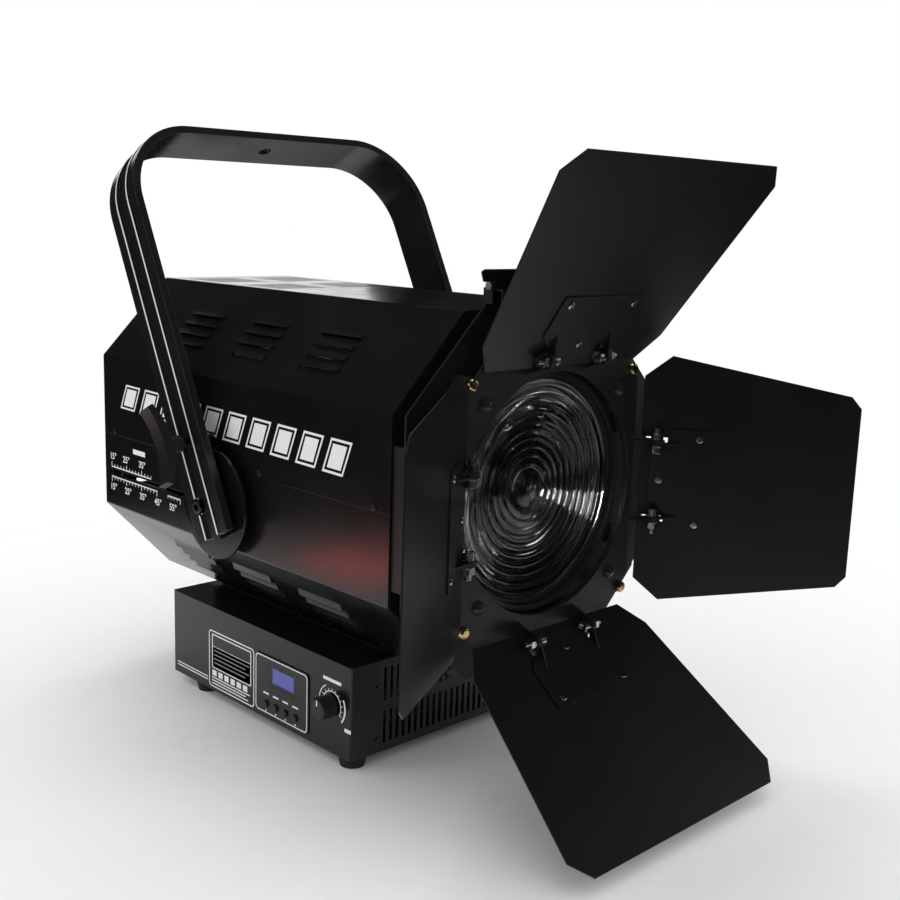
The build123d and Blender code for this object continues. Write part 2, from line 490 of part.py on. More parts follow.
# ------------------------------------------------------------------ tilt pivots on the housing
for side, tag in ((-1, "left"), (1, "right")):
    x_skin = side * HOUSE_HALF_W
    boss = tube((x_skin, PIVOT_Y, PIVOT_Z), (side, 0, 0), 9.0, 24.0, 4.1)
    boss += tube((side * (HOUSE_HALF_W - 5), PIVOT_Y, PIVOT_Z), (side, 0, 0), 5.0, 8.9, 4.1)
    backing = block(*sorted((side * (HOUSE_HALF_W - SHEET - 3.0), side * (HOUSE_HALF_W - SHEET))), PIVOT_Y - 32, PIVOT_Y + 32,
                    PIVOT_Z - 30, SEAM_Z - 14.5)
    backing -= rod((side * (HOUSE_HALF_W - 10), PIVOT_Y, PIVOT_Z), (side, 0, 0), 12, 9.05)
    add("pivot_bosses", boss, backing)
    disc = tube((side * (HOUSE_HALF_W + 9.0), PIVOT_Y, PIVOT_Z), (side, 0, 0), 3.0, DISC_R, 4.1)
    outer_edge = disc.faces().sort_by(Axis.X)[-1 if side > 0 else 0].edges().sort_by(SortBy.LENGTH)[-1]
    disc = fillet(outer_edge, 0.8)
    add("pivot_discs", disc)

# ------------------------------------------------------------------ yoke
lean = math.radians(YOKE_LEAN)
arm_up = Vector(0, math.sin(lean), math.cos(lean))
arm_front = Vector(0, -math.cos(lean), math.sin(lean))
yoke_plane = Plane(origin=Vector(0, PIVOT_Y, PIVOT_Z) + arm_front * YOKE_OFFSET, x_dir=(1, 0, 0), z_dir=arm_front)
# local x = X, local y = up the arm (z_dir cross x_dir), extrude along arm_front


def u_path(inset):
    hw = YOKE_HALF_W - inset
    top = YOKE_REACH - inset
    rr = YOKE_BEND_R - inset
    outer = make_face(Polyline((-hw, -YOKE_TAIL), (-hw, top), (hw, top), (hw, -YOKE_TAIL), close=True))
    corners = [v for v in outer.vertices() if v.Y > 0]
    return fillet(corners, rr)


up_sign = 1 if yoke_plane.y_dir.Z > 0 else -1


def u_band(outer_inset, inner_inset, w0, w1):
    """U-shaped layer of the bar between two insets, from w0 to w1 across its width."""
    sk = u_path(outer_inset) - u_path(inner_inset)
    if up_sign < 0:
        sk = Rot(180, 0, 0) * sk
    p = Plane(origin=yoke_plane.origin + arm_front * w0, x_dir=yoke_plane.x_dir, z_dir=arm_front)
    return extrude(p * sk, amount=w1 - w0)


hw_bar = YOKE_BAR_W / 2
yoke = u_band(2.4, YOKE_BAR_T, -hw_bar, hw_bar)
yoke += u_band(0.6, 3.0, -hw_bar, -hw_bar + 11.5)
yoke += u_band(0.0, 3.0, -11.8, -8.0)
yoke += u_band(0.0, 3.0, 8.0, 11.8)
yoke += u_band(0.6, 3.0, hw_bar - 11.5, hw_bar)
# the inset layers overshoot the foot of each arm: trim both ends square
foot_cut = Plane(origin=yoke_plane.origin - arm_up * (YOKE_TAIL), x_dir=(1, 0, 0), z_dir=arm_up) * Box(500, 200, 20, align=(Align.CENTER, Align.CENTER, Align.MAX))
yoke -= foot_cut
for side in (-1, 1):
    yoke -= rod((side * (YOKE_HALF_W - 12), PIVOT_Y, PIVOT_Z), (side, 0, 0), 20, 4.0)
    yoke -= rod((side * (YOKE_HALF_W - 3.2), PIVOT_Y, PIVOT_Z), (side, 0, 0), 10, 8.0)
handle_at = Vector(0, PIVOT_Y, PIVOT_Z) + arm_up * HANDLE_S + arm_front * (YOKE_OFFSET)
yoke -= rod((-(YOKE_HALF_W - 12), handle_at.Y, handle_at.Z), (-1, 0, 0), 20, 4.05)
hole_at = yoke_plane.origin + arm_up * (YOKE_REACH + 5)
yoke -= rod(hole_at, (-arm_up.X, -arm_up.Y, -arm_up.Z), 20, YOKE_HOLE_R)
add("yoke_bar", yoke)

for side, tag in ((-1, "left"), (1, "right")):
    face_x = side * (YOKE_HALF_W - 3.2)
    inner_x = side * (HOUSE_HALF_W - 12)
    length = abs(face_x - inner_x)
    bolt = rod((inner_x, PIVOT_Y, PIVOT_Z), (side, 0, 0), length, 4.0)
    head = rod((face_x, PIVOT_Y, PIVOT_Z), (side, 0, 0), 5.0, 6.5)
    head = fillet(head.faces().sort_by(Axis.X)[-1 if side > 0 else 0].edges(), 1.2)
    sock = Plane(origin=(face_x + side * 5.0, PIVOT_Y, PIVOT_Z), z_dir=(-side, 0, 0)) * RegularPolygon(3.4, 6)
    head -= extrude(sock, amount=3.0)
    nut = extrude(Plane(origin=(side * (HOUSE_HALF_W - 6.5), PIVOT_Y, PIVOT_Z), z_dir=(-side, 0, 0)) * RegularPolygon(7.5, 6), amount=5.5)
    add("pivot_bolts", bolt + head + nut)
    add("pivot_bolts", tube((side * (HOUSE_HALF_W + 12.2), PIVOT_Y, PIVOT_Z), (side, 0, 0),
                                       YOKE_HALF_W - YOKE_BAR_T - HOUSE_HALF_W - 12.2, 17.0, 4.0))

# ------------------------------------------------------------------ tilt handle
HX = -YOKE_HALF_W
stud = rod((HX + 26.5, handle_at.Y, handle_at.Z), (-1, 0, 0), 48.0, 4.0)
pad = rod((HX + 27.0, handle_at.Y, handle_at.Z), (-1, 0, 0), 3.0, 5.5)
add("tilt_stud", stud)
add("tilt_stud", pad - rod((HX + 26.5, handle_at.Y, handle_at.Z), (-1, 0, 0), 5.0, 4.0))
# curved lever, long way along the arm, its ends bending away from the arm
LEVER_R = 80.0
LEVER_MID = 2.0           # centre line of its middle, outside the lever plane
lever_plane = Plane(origin=(HX - 20.0, handle_at.Y, handle_at.Z), x_dir=(arm_up.X, arm_up.Y, arm_up.Z), z_dir=(arm_front.X, arm_front.Y, arm_front.Z))
# local x along the arm; local y is +X or -X
out_sign = 1 if lever_plane.y_dir.X < 0 else -1
arc_half = math.degrees(math.asin(36.0 / LEVER_R))
oy = out_sign
outer_pts, inner_pts = [], []
for i in range(17):
    a = math.radians(-arc_half + 2 * arc_half * i / 16)
    t = 5.5 + 3.5 * math.cos(a * 90 / arc_half)
    sag = LEVER_MID + LEVER_R * (1 - math.cos(a))
    outer_pts.append(((LEVER_R - t / 2) * math.sin(a), oy * (sag + t / 2)))
    inner_pts.append(((LEVER_R + t / 2) * math.sin(a), oy * (sag - t / 2)))
lever_sk = make_face(Polyline(*(outer_pts + inner_pts[::-1]), close=True))
lever = extrude(lever_plane * lever_sk, amount=8.0, both=True)
lever += rod((HX - 6.0, handle_at.Y, handle_at.Z), (-1, 0, 0), 17.5, 7.5)
lever -= rod((HX - 4.0, handle_at.Y, handle_at.Z), (-1, 0, 0), 17.5, 4.0)
add("tilt_lever", lever)

# ------------------------------------------------------------------ control base
T = 1.5
shell = block(-BASE_HALF_W, BASE_HALF_W, -BASE_HALF_L, BASE_HALF_L, BASE_BOTTOM, BASE_TOP)
shell = fillet(shell.edges().filter_by(Axis.Z), 2.0)
shell = shell - block(-BASE_HALF_W + T, BASE_HALF_W - T, -BASE_HALF_L + T, BASE_HALF_L - T, BASE_BOTTOM - 1, BASE_TOP - T)
base_cuts = []
SLOT_PITCH = 7.5
for i in range(24):
    x = -86.25 + SLOT_PITCH * i
    for z in (73.0, 33.0):
        base_cuts.append(Pos(x, -BASE_HALF_L, z) * Box(3.4, 8, 30))
# small slot rows in the roof, beside the housing
for side in (-1, 1):
    for row in (82.0, 91.0, 100.0):
        for i in range(22):
            base_cuts.append(Pos(side * row, -124 + 9.0 * i, BASE_TOP) * Box(6.5, 3.0, 8))
# right side vents
for i in range(18):
    for z in (73.0, 33.0):
        base_cuts.append(Pos(BASE_HALF_W, -64 + SLOT_PITCH * i, z) * Box(8, 3.4, 30))
# cable hole to the housing
base_cuts.append(rod((0, 30, BASE_TOP - 8), (0, 0, 1), 16, 22.0))
# control panel openings in the left side
PANEL_Y0, PANEL_Y1, PANEL_Z0, PANEL_Z1 = -84.0, -2.0, 15.0, 73.0
base_cuts.append(block(-BASE_HALF_W - 4, -BASE_HALF_W + 4, -78, -8, 18, 70))
base_cuts.append(rod((-BASE_HALF_W - 4, KNOB_Y, KNOB_Z), (1, 0, 0), 8, 4.2))
# sockets in the rear face
base_cuts.append(block(-96, -46, BASE_HALF_L - 4, BASE_HALF_L + 4, 34, 72))
base_cuts.append(rod((-10, BASE_HALF_L - 4, 54), (0, 1, 0), 8, 12.0))
base_cuts.append(rod((28, BASE_HALF_L - 4, 54), (0, 1, 0), 8, 12.0))
base_cuts.append(rod((66, BASE_HALF_L - 4, 54), (0, 1, 0), 8, 6.5))
shell -= base_cuts
add("base_shell", shell)

floor_plate = block(-BASE_HALF_W + T + 0.3, BASE_HALF_W - T - 0.3, -BASE_HALF_L + T + 0.3, BASE_HALF_L - T - 0.3, BASE_BOTTOM, BASE_BOTTOM + 1.5)
for sy in (-1, 1):
    y0, y1 = sorted((sy * (BASE_HALF_L - T - 0.3), sy * (BASE_HALF_L - T - 1.8)))
    if sy > 0:
        for x0, x1 in ((-118, -100), (-42, -26), (82, 118)):
            floor_plate += block(x0, x1, y0, y1, BASE_BOTTOM, BASE_BOTTOM + 16)
FOOT_X = BASE_HALF_W - 14.0
FOOT_YS = (14.0 - BASE_HALF_L, BASE_HALF_L - 44.0)
floor_plate -= [rod((sx * FOOT_X, y, 5), (0, 0, 1), 20, 2.1) for sx in (-1, 1) for y in FOOT_YS]
add("base_floor", floor_plate)

add("seals", Pos(0, 0, BASE_TOP) * (extrude(RectangleRounded(150, 270, 8) - RectangleRounded(126, 246, 4), amount=AXIS_Z - SIDE_HALF_H - FACET_Z - BASE_TOP)))
grommet = tube((0, 30, BASE_TOP - T - 1.5), (0, 0, 1), 9.0, 21.8, 17.0)
grommet += tube((0, 30, BASE_TOP - T - 3.0), (0, 0, 1), 3.0, 25.0, 17.0)
grommet += tube((0, 30, AXIS_Z - 154 + SHEET), (0, 0, 1), 2.5, 25.0, 17.0)
add("seals", grommet)

feet, foot_screws = [], []
for sx in (-1, 1):
    for foot_y in FOOT_YS:
        f = Pos(sx * FOOT_X, foot_y, 0) * Cone(FOOT_R - 2.0, FOOT_R, BASE_BOTTOM, align=(Align.CENTER, Align.CENTER, Align.MIN))
        f -= rod((sx * FOOT_X, foot_y, -1), (0, 0, 1), 5.0, 4.5)
        f -= rod((sx * FOOT_X, foot_y, -1), (0, 0, 1), 20, 2.05)
        feet.append(f)
        foot_screws.append(rod((sx * FOOT_X, foot_y, 4.0), (0, 0, 1), 12.0, 2.0)
                           + rod((sx * FOOT_X, foot_y, 2.0), (0, 0, 1), 2.0, 4.0)
                           + rod((sx * FOOT_X, foot_y, BASE_BOTTOM + 1.5), (0, 0, 1), 3.2, 4.0))
add("feet", *feet)
add("case_screws", *foot_screws)
for x, y in ((-94.0, -BASE_HALF_L), (94.0, -BASE_HALF_L), (-112.0, BASE_HALF_L), (112.0, BASE_HALF_L)):
    out = -1 if y < 0 else 1
    for z in (71.0, 22.0):
        head = rod((x, y, z), (0, out, 0), 1.5, 3.0)
        add("case_screws", fillet(head.faces().sort_by(Axis.Y)[0 if out < 0 else -1].edges(), 0.9)
            - Pos(x, y + out * 1.5, z) * (Box(3.8, 1.4, 0.8) + Box(0.8, 1.4, 3.8)))

# control panel on the left side of the base
XP = -BASE_HALF_W
panel = block(XP - 1.2, XP, PANEL_Y0, PANEL_Y1, PANEL_Z0, PANEL_Z1)
panel = fillet(panel.edges().filter_by(Axis.X), 4.0)
BUTTON_Y = (-65.0, -50.0, -35.0, -20.0)
BUTTON_Z = 25.5
panel -= block(XP - 3, XP + 2, -68.5, -23.5, 45.0, 66.5)
panel -= [rod((XP - 3, y, BUTTON_Z), (1, 0, 0), 6, 3.6) for y in BUTTON_Y]
add("control_panel", panel)
add("display_window", block(XP - 1.0, XP, -68.4, -23.6, 45.1, 66.4))
add("control_board", block(XP + 0.1, XP + 5.0, -74.0, -19.0, 38.0, 69.0))
pcb = block(XP + 9.0, XP + 10.6, -135.0, -10.0, 18.5, 70.0)
pcb -= rod((XP + 5.0, KNOB_Y, KNOB_Z), (1, 0, 0), 10, 3.4)
stand = [block(XP + 5.0, XP + 9.0, -72.0, -66.0, 60.0, 68.0), block(XP + 5.0, XP + 9.0, -27.0, -21.0, 60.0, 68.0)]
pcb = join([pcb] + stand)
add("control_board", pcb)
add("control_board", *[block(XP + 5.2, XP + 9.0, y - 3, y + 3, BUTTON_Z - 3, BUTTON_Z + 3) for y in BUTTON_Y])
pot = block(XP + 10.6, XP + 19.0, KNOB_Y - 8, KNOB_Y + 8, KNOB_Z - 8, KNOB_Z + 8)
pot -= rod((XP + 5.0, KNOB_Y, KNOB_Z), (1, 0, 0), 20, 3.05)
pot += tube((XP + 1.0, KNOB_Y, KNOB_Z), (1, 0, 0), 9.6, 3.3, 3.05) & block(-200, 200, -200, 200, 0, 500)
add("control_board", pot)
for n, y in enumerate(BUTTON_Y, 1):
    cap = rod((XP - 3.2, y, BUTTON_Z), (1, 0, 0), 5.7, 3.4)
    cap = fillet(cap.faces().sort_by(Axis.X)[0].edges(), 0.6)
    cap += rod((XP + 1.5, y, BUTTON_Z), (1, 0, 0), 1.5, 4.8)
    cap += rod((XP + 1.5, y, BUTTON_Z), (1, 0, 0), 2.8, 1.5)
    add(f"button_{n}", cap)

knob = rod((XP - 2.0, KNOB_Y, KNOB_Z), (-1, 0, 0), 15.0, 10.0)
knob = chamfer(knob.faces().sort_by(Axis.X)[0].edges(), 1.5)
flutes = []
for i in range(24):
    a = math.radians(15 * i)
    flutes.append(rod((XP - 4.5, KNOB_Y + 10.4 * math.cos(a), KNOB_Z + 10.4 * math.sin(a)), (-1, 0, 0), 20, 0.9))
knob -= flutes
knob -= block(XP - 18, XP - 16.2, KNOB_Y - 0.6, KNOB_Y + 0.6, KNOB_Z + 2.0, KNOB_Z + 12.0)
knob -= rod((XP - 1.0, KNOB_Y, KNOB_Z), (-1, 0, 0), 11.0, 3.0)
add("dimmer_knob", knob)
add("dimmer_knob", rod((XP - 12.0, KNOB_Y, KNOB_Z), (1, 0, 0), 12.0 + 18.5, 3.0))

# ------------------------------------------------------------------ inside the base
add("power_supply", block(-60, 60, -30, 118, 13.0, 70.0) - block(-58, 58, -32, 120, 15, 68) +
    block(-57, 57, -29, 117, 15.0, 16.6))
psu_bits = [block(-50, -10, 60, 100, 16.6, 52), block(5, 30, 50, 75, 16.6, 44), rod((42, 20, 16.6), (0, 0, 1), 34, 10),
            rod((42, 44, 16.6), (0, 0, 1), 34, 10), block(-50, -44, -20, 45, 16.6, 50), block(-30, 0, 0, 30, 16.6, 46)]
add("power_supply", *psu_bits)
drv = block(-85, 85, -120, -50, 20.0, 21.6)
drv += [rod((x, y, BASE_BOTTOM + 1.5), (0, 0, 1), 8.5, 3.0) for x in (-78, 78) for y in (-113, -57)]
add("driver_board", drv)
add("driver_board", block(-60, -35, -105, -70, 21.6, 46), block(-20, 10, -110, -85, 21.6, 38),
    block(25, 60, -100, -65, 21.6, 50), rod((0, -66, 21.6), (0, 0, 1), 18, 8))
inlet = block(-98, -44, BASE_HALF_L, BASE_HALF_L + 2.0, 32, 74) + block(-95.5, -46.5, BASE_HALF_L - 18, BASE_HALF_L, 34.5, 71.5)
inlet -= block(-93, -67, BASE_HALF_L - 14, BASE_HALF_L + 4, 44, 62)
add("power_inlet", inlet)
add("power_inlet", *[block(x - 1, x + 1, BASE_HALF_L - 14, BASE_HALF_L - 1, z, z + 4) for x, z in ((-80, 55), (-86, 48), (-74, 48))])
add("power_inlet", block(-62, -50, BASE_HALF_L + 2.0, BASE_HALF_L + 5.0, 44, 62))
for n, x in (("in", -10), ("out", 28)):
    s_ = block(x - 13, x + 13, BASE_HALF_L, BASE_HALF_L + 2.0, 39, 70)
    s_ += rod((x, BASE_HALF_L - 16, 54), (0, 1, 0), 16, 11.8)
    s_ -= tube((x, BASE_HALF_L - 10, 54), (0, 1, 0), 15, 9.0, 6.6)
    s_ -= [rod((x + dx, BASE_HALF_L - 10, 54 + dz), (0, 1, 0), 15, 1.4) for dx, dz in ((-3.2, 1.5), (3.2, 1.5), (0, -3.4))]
    add("data_sockets", s_)
fuse = rod((66, BASE_HALF_L - 18, 54), (0, 1, 0), 18, 6.3) + rod((66, BASE_HALF_L, 54), (0, 1, 0), 8, 8.5)
fuse -= Pos(66, BASE_HALF_L + 8, 54) * Box(10, 2.4, 1.6)
add("power_inlet", fuse)

# ------------------------------------------------------------------ zoom carriage inside the housing
ROD_R = 6.0
for side, tag in ((-1, "left"), (1, "right")):
    add("guide_rods", rod((side * ROD_X, HOUSE_FRONT + 30, ROD_Z), (0, 1, 0), 384.0, ROD_R))
front_x = block(29 - HOUSE_HALF_W, HOUSE_HALF_W - 29, HOUSE_FRONT + 24, HOUSE_FRONT + 30, 288, 344)
front_x += block(5 - HOUSE_HALF_W, HOUSE_HALF_W - 5, HOUSE_FRONT + 24, HOUSE_FRONT + 26, 288, 300)
front_x -= rod((0, HOUSE_FRONT + 20, SCREW_Z), (0, 1, 0), 16, 5.06)
front_x -= block(-70, 70, HOUSE_FRONT + 20, HOUSE_FRONT + 40, 280, 312)
add("inner_brackets", front_x)
rear_x = block(29 - HOUSE_HALF_W, HOUSE_HALF_W - 29, HOUSE_REAR - 31, HOUSE_REAR - 25, 288, 344)
rear_x += block(5 - HOUSE_HALF_W, HOUSE_HALF_W - 5, HOUSE_REAR - 27, HOUSE_REAR - 25, 288, 300)
rear_x -= rod((0, HOUSE_REAR - 40, SCREW_Z), (0, 1, 0), 20, 5.06)
rear_x -= block(-70, 70, HOUSE_REAR - 40, HOUSE_REAR - 20, 280, 312)
add("inner_brackets", rear_x)

# carriage, drawn at the rear end of its travel (wide-side limit is at the front)
CY = 90.0
plate_c = block(-110, 110, CY, CY + 5, 178, 345)
plate_c -= [rod((s * ROD_X, CY - 5, ROD_Z), (0, 1, 0), 20, 11.0) for s in (-1, 1)]
plate_c -= rod((0, CY - 5, SCREW_Z), (0, 1, 0), 20, 9.0)
add("carriage_plate", plate_c)
bush = []
for s in (-1, 1):
    bush.append(tube((s * ROD_X, CY - 12, ROD_Z), (0, 1, 0), 30, 11.0, ROD_R + 0.05)
                + tube((s * ROD_X, CY - 3, ROD_Z), (0, 1, 0), 3, 15.0, ROD_R + 0.05))
add("carriage_plate", *bush)
add("carriage_plate", tube((0, CY - 10, SCREW_Z), (0, 1, 0), 24, 9.0, 5.05) + tube((0, CY - 4, SCREW_Z), (0, 1, 0), 4, 14.0, 5.05))
LED_Z = AXIS_Z
add("led_module", block(-34, 34, CY - 3, CY, LED_Z - 34, LED_Z + 34))
add("led_module", rod((0, CY - 3, LED_Z), (0, -1, 0), 1.5, 22.0))
cone_prof = make_face(Polyline((24.0, CY - 3.0), (60.0, CY - 62.0), (61.5, CY - 62.0), (25.8, CY - 3.0), close=True))
refl = revolve(lens_plane * cone_prof, Axis((0, 0, AXIS_Z), (0, 1, 0)), 360)
add("reflector", refl + tube((0, CY - 63.5, AXIS_Z), (0, 1, 0), 2.0, 65.0, 60.2))
sink = block(-70, 70, CY + 5, CY + 11, 180, 316)
fins = [block(-69 + 9.2 * i, -67.2 + 9.2 * i, CY + 11, CY + 40, 180, 316) for i in range(16)]
sink = join([sink] + fins)
sink -= rod((0, CY, SCREW_Z), (0, 1, 0), 60, 12.0)
add("heat_sink", sink)
FAN_Z = 248.0
fan_frame = block(-60, 60, CY + 40, CY + 65, FAN_Z - 60, FAN_Z + 60)
fan_frame -= rod((0, CY + 30, FAN_Z), (0, 1, 0), 40, 56.0)
fan_frame += Pos(0, CY + 63.5, FAN_Z) * (Box(6, 3, 116) + Box(116, 3, 6))
fan_frame += rod((0, CY + 61, FAN_Z), (0, 1, 0), 4, 18.0)
fan_frame += rod((0, CY + 52, FAN_Z), (0, 1, 0), 10, 2.5)
add("fan_frame", fan_frame)
hub = rod((0, CY + 43, FAN_Z), (0, 1, 0), 16.5, 19.0) - rod((0, CY + 50, FAN_Z), (0, 1, 0), 12, 2.55)
blades = []
for i in range(7):
    b = Pos(36.0, CY + 51.2, 0) * Rot(38, 0, 0) * Box(37.0, 1.6, 22.0)
    b = b & (Pos(0, CY + 51.2, 0) * Rot(90, 0, 0) * Cylinder(54.0, 17.0))
    blades.append(Pos(0, 0, FAN_Z) * Rot(0, 360 / 7 * i, 0) * b)
rotor = join([hub] + blades)
rotor -= rod((0, CY + 50, FAN_Z), (0, 1, 0), 12, 2.55)
add("fan_rotor", rotor)
# pointer arm that shows the beam angle in the window of the left side
PTR_Y = 192.5
ptr = block(-HOUSE_HALF_W - 0.3, -110, PTR_Y - 2.0, PTR_Y + 2.0, 210.0, 213.0)
ptr += block(-113, -110, CY, PTR_Y + 2.0, 206.0, 216.0)
add("zoom_pointer", ptr)

# zoom knob and lead screw
add("lead_screw", rod((0, HOUSE_FRONT + 22, SCREW_Z), (0, 1, 0), HOUSE_REAR - HOUSE_FRONT - 22 + 14, 5.0)
    + tube((0, HOUSE_REAR - 24.5, SCREW_Z), (0, 1, 0), 4, 8.0, 4.9))
zk = rod((0, HOUSE_REAR + 3.0, SCREW_Z), (0, 1, 0), 22.0, 17.0)
zk = fillet(zk.faces().sort_by(Axis.Y)[-1].edges(), 2.5)
zk -= [rod((17.6 * math.cos(math.radians(30 * i)), HOUSE_REAR + 5.0, SCREW_Z + 17.6 * math.sin(math.radians(30 * i))), (0, 1, 0), 25, 2.2) for i in range(12)]
zk -= rod((0, HOUSE_REAR + 2, SCREW_Z), (0, 1, 0), 12.0, 5.0)
add("zoom_knob", zk)

# ------------------------------------------------------------------ write
os.makedirs("parts", exist_ok=True)
for name, solids in NODES.items():
    export_step(solids[0] if len(solids) == 1 else Compound(children=solids), f"parts/{name}.step")
print(len(NODES), "nodes")
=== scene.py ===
import math

import bmesh
import bpy
from mathutils import Matrix, Vector


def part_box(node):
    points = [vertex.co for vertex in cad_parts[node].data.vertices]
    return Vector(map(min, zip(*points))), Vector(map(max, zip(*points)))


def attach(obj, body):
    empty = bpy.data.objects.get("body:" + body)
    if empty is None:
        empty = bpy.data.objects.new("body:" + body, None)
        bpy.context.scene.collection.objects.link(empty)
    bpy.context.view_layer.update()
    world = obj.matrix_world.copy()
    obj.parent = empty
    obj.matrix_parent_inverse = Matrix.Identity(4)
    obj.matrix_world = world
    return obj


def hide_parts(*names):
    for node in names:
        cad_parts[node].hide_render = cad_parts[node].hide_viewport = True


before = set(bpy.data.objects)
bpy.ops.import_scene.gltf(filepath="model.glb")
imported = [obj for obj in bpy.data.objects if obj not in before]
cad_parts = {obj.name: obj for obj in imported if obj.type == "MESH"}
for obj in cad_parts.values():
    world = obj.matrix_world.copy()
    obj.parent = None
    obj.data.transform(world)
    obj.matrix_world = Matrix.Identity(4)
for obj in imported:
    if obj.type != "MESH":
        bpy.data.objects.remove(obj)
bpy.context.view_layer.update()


# ---------------------------------------------------------------- housing covers, panels and brackets
# Two folded covers of 1.5 mm steel sheet, lapped and screwed along the sides, with pressed louvres.
# They are sprayed satin black: a faint orange-peel skin, a lighter rub along folds and cut edges.
PAINT_BLACK = (0.0036, 0.0036, 0.0039, 1)
PAINT_GREY = (0.0078, 0.0078, 0.0082, 1)
RUBBED = (0.045, 0.045, 0.046, 1)
DUST_COLOUR = (0.16, 0.155, 0.145, 1)
COAT_ROUGHNESS = 0.1
WELD_GAP = 0.00001
CRISP_ANGLE = math.radians(28)


def node(tree, kind, x=0, **values):
    n = tree.nodes.new(kind)
    n.location = (x, -40 * len(tree.nodes))
    for key, value in values.items():
        if hasattr(n, key):
            setattr(n, key, value)
        else:
            n.inputs[key.replace("_", " ")].default_value = value
    return n


def remap(tree, value, x, from_min, from_max, to_min, to_max):
    """Stretches a value from one range to another, and returns the node."""
    n = node(tree, "ShaderNodeMapRange", x)
    limits = {"From Min": from_min, "From Max": from_max, "To Min": to_min, "To Max": to_max}
    for key, limit in limits.items():
        n.inputs[key].default_value = limit
    tree.links.new(value, n.inputs["Value"])
    return n


def times(tree, first, second, x):
    """The product of two values."""
    n = node(tree, "ShaderNodeMath", x, operation="MULTIPLY")
    tree.links.new(first, n.inputs[0])
    tree.links.new(second, n.inputs[1])
    return n.outputs["Value"]


def skin_group():
    """Sprayed or moulded skin: rounded edges, fine grain, slow mottling, rubbed edges and settled dust."""
    g = bpy.data.node_groups.new("sprayed_skin", "ShaderNodeTree")
    for name, low, high, start in (("Grain Size", 1, 5000, 900), ("Grain Height", 0, 1, 0.1),
                                   ("Mottle Size", 0.1, 500, 14), ("Rub", 0, 1, 0.4),
                                   ("Rub Evenness", 0, 1, 0.15), ("Dust", 0, 1, 0.1)):
        s = g.interface.new_socket(name=name, in_out="INPUT", socket_type="NodeSocketFloat")
        s.default_value, s.min_value, s.max_value = start, low, high
    g.interface.new_socket(name="Normal", in_out="OUTPUT", socket_type="NodeSocketVector")
    for name in ("Mottle", "Edge", "Dusting"):
        g.interface.new_socket(name=name, in_out="OUTPUT", socket_type="NodeSocketFloat")
    link = g.links.new
    come, go = node(g, "NodeGroupInput"), node(g, "NodeGroupOutput", 1200)
    place = node(g, "ShaderNodeTexCoord")
    bevel = node(g, "ShaderNodeBevel", 200, samples=4, Radius=0.0007)
    facing = node(g, "ShaderNodeNewGeometry", 200)
    grain = node(g, "ShaderNodeTexNoise", 300, Detail=3.0, Roughness=0.55)
    link(place.outputs["Object"], grain.inputs["Vector"])
    link(come.outputs["Grain Size"], grain.inputs["Scale"])
    bump = node(g, "ShaderNodeBump", 600, Distance=0.0003)
    link(come.outputs["Grain Height"], bump.inputs["Strength"])
    link(grain.outputs["Fac"], bump.inputs["Height"])
    link(bevel.outputs["Normal"], bump.inputs["Normal"])
    link(bump.outputs["Normal"], go.inputs["Normal"])
    mottle = node(g, "ShaderNodeTexNoise", 300, Detail=5.0, Roughness=0.6)
    link(place.outputs["Object"], mottle.inputs["Vector"])
    link(come.outputs["Mottle Size"], mottle.inputs["Scale"])
    link(mottle.outputs["Fac"], go.inputs["Mottle"])
    dot = node(g, "ShaderNodeVectorMath", 500, operation="DOT_PRODUCT")
    link(bevel.outputs["Normal"], dot.inputs[0])
    link(facing.outputs["Normal"], dot.inputs[1])
    edge = remap(g, dot.outputs["Value"], 700, 0.985, 0.80, 0.0, 1.0)
    broken = node(g, "ShaderNodeTexNoise", 300, Scale=160.0, Detail=4.0)
    link(place.outputs["Object"], broken.inputs["Vector"])
    patch = remap(g, broken.outputs["Fac"], 500, 0.42, 0.62, 0.0, 1.0)
    link(come.outputs["Rub Evenness"], patch.inputs["To Min"])
    worn = times(g, edge.outputs["Result"], patch.outputs["Result"], 900)
    link(times(g, worn, come.outputs["Rub"], 1000), go.inputs["Edge"])
    up = node(g, "ShaderNodeSeparateXYZ", 500)
    link(facing.outputs["Normal"], up.inputs["Vector"])
    settle = remap(g, up.outputs["Z"], 700, 0.2, 1.0, 0.0, 1.0)
    specks = node(g, "ShaderNodeTexNoise", 300, Scale=420.0, Detail=6.0, Roughness=0.8)
    link(place.outputs["Object"], specks.inputs["Vector"])
    fine = remap(g, specks.outputs["Fac"], 600, 0.5, 0.75, 0.2, 1.0)
    dust = times(g, settle.outputs["Result"], fine.outputs["Result"], 900)
    link(times(g, dust, come.outputs["Dust"], 1000), go.inputs["Dusting"])
    return g


SKIN = skin_group()


def mix_colour(tree, factor, first, second, x=300):
    """Blends two colours, each a fixed colour or a socket, by the factor socket."""
    m = node(tree, "ShaderNodeMix", x, data_type="RGBA")
    tree.links.new(factor, m.inputs["Factor"])
    for key, value in ((6, first), (7, second)):
        if isinstance(value, bpy.types.NodeSocket):
            tree.links.new(value, m.inputs[key])
        else:
            m.inputs[key].default_value = value
    return m.outputs[2]


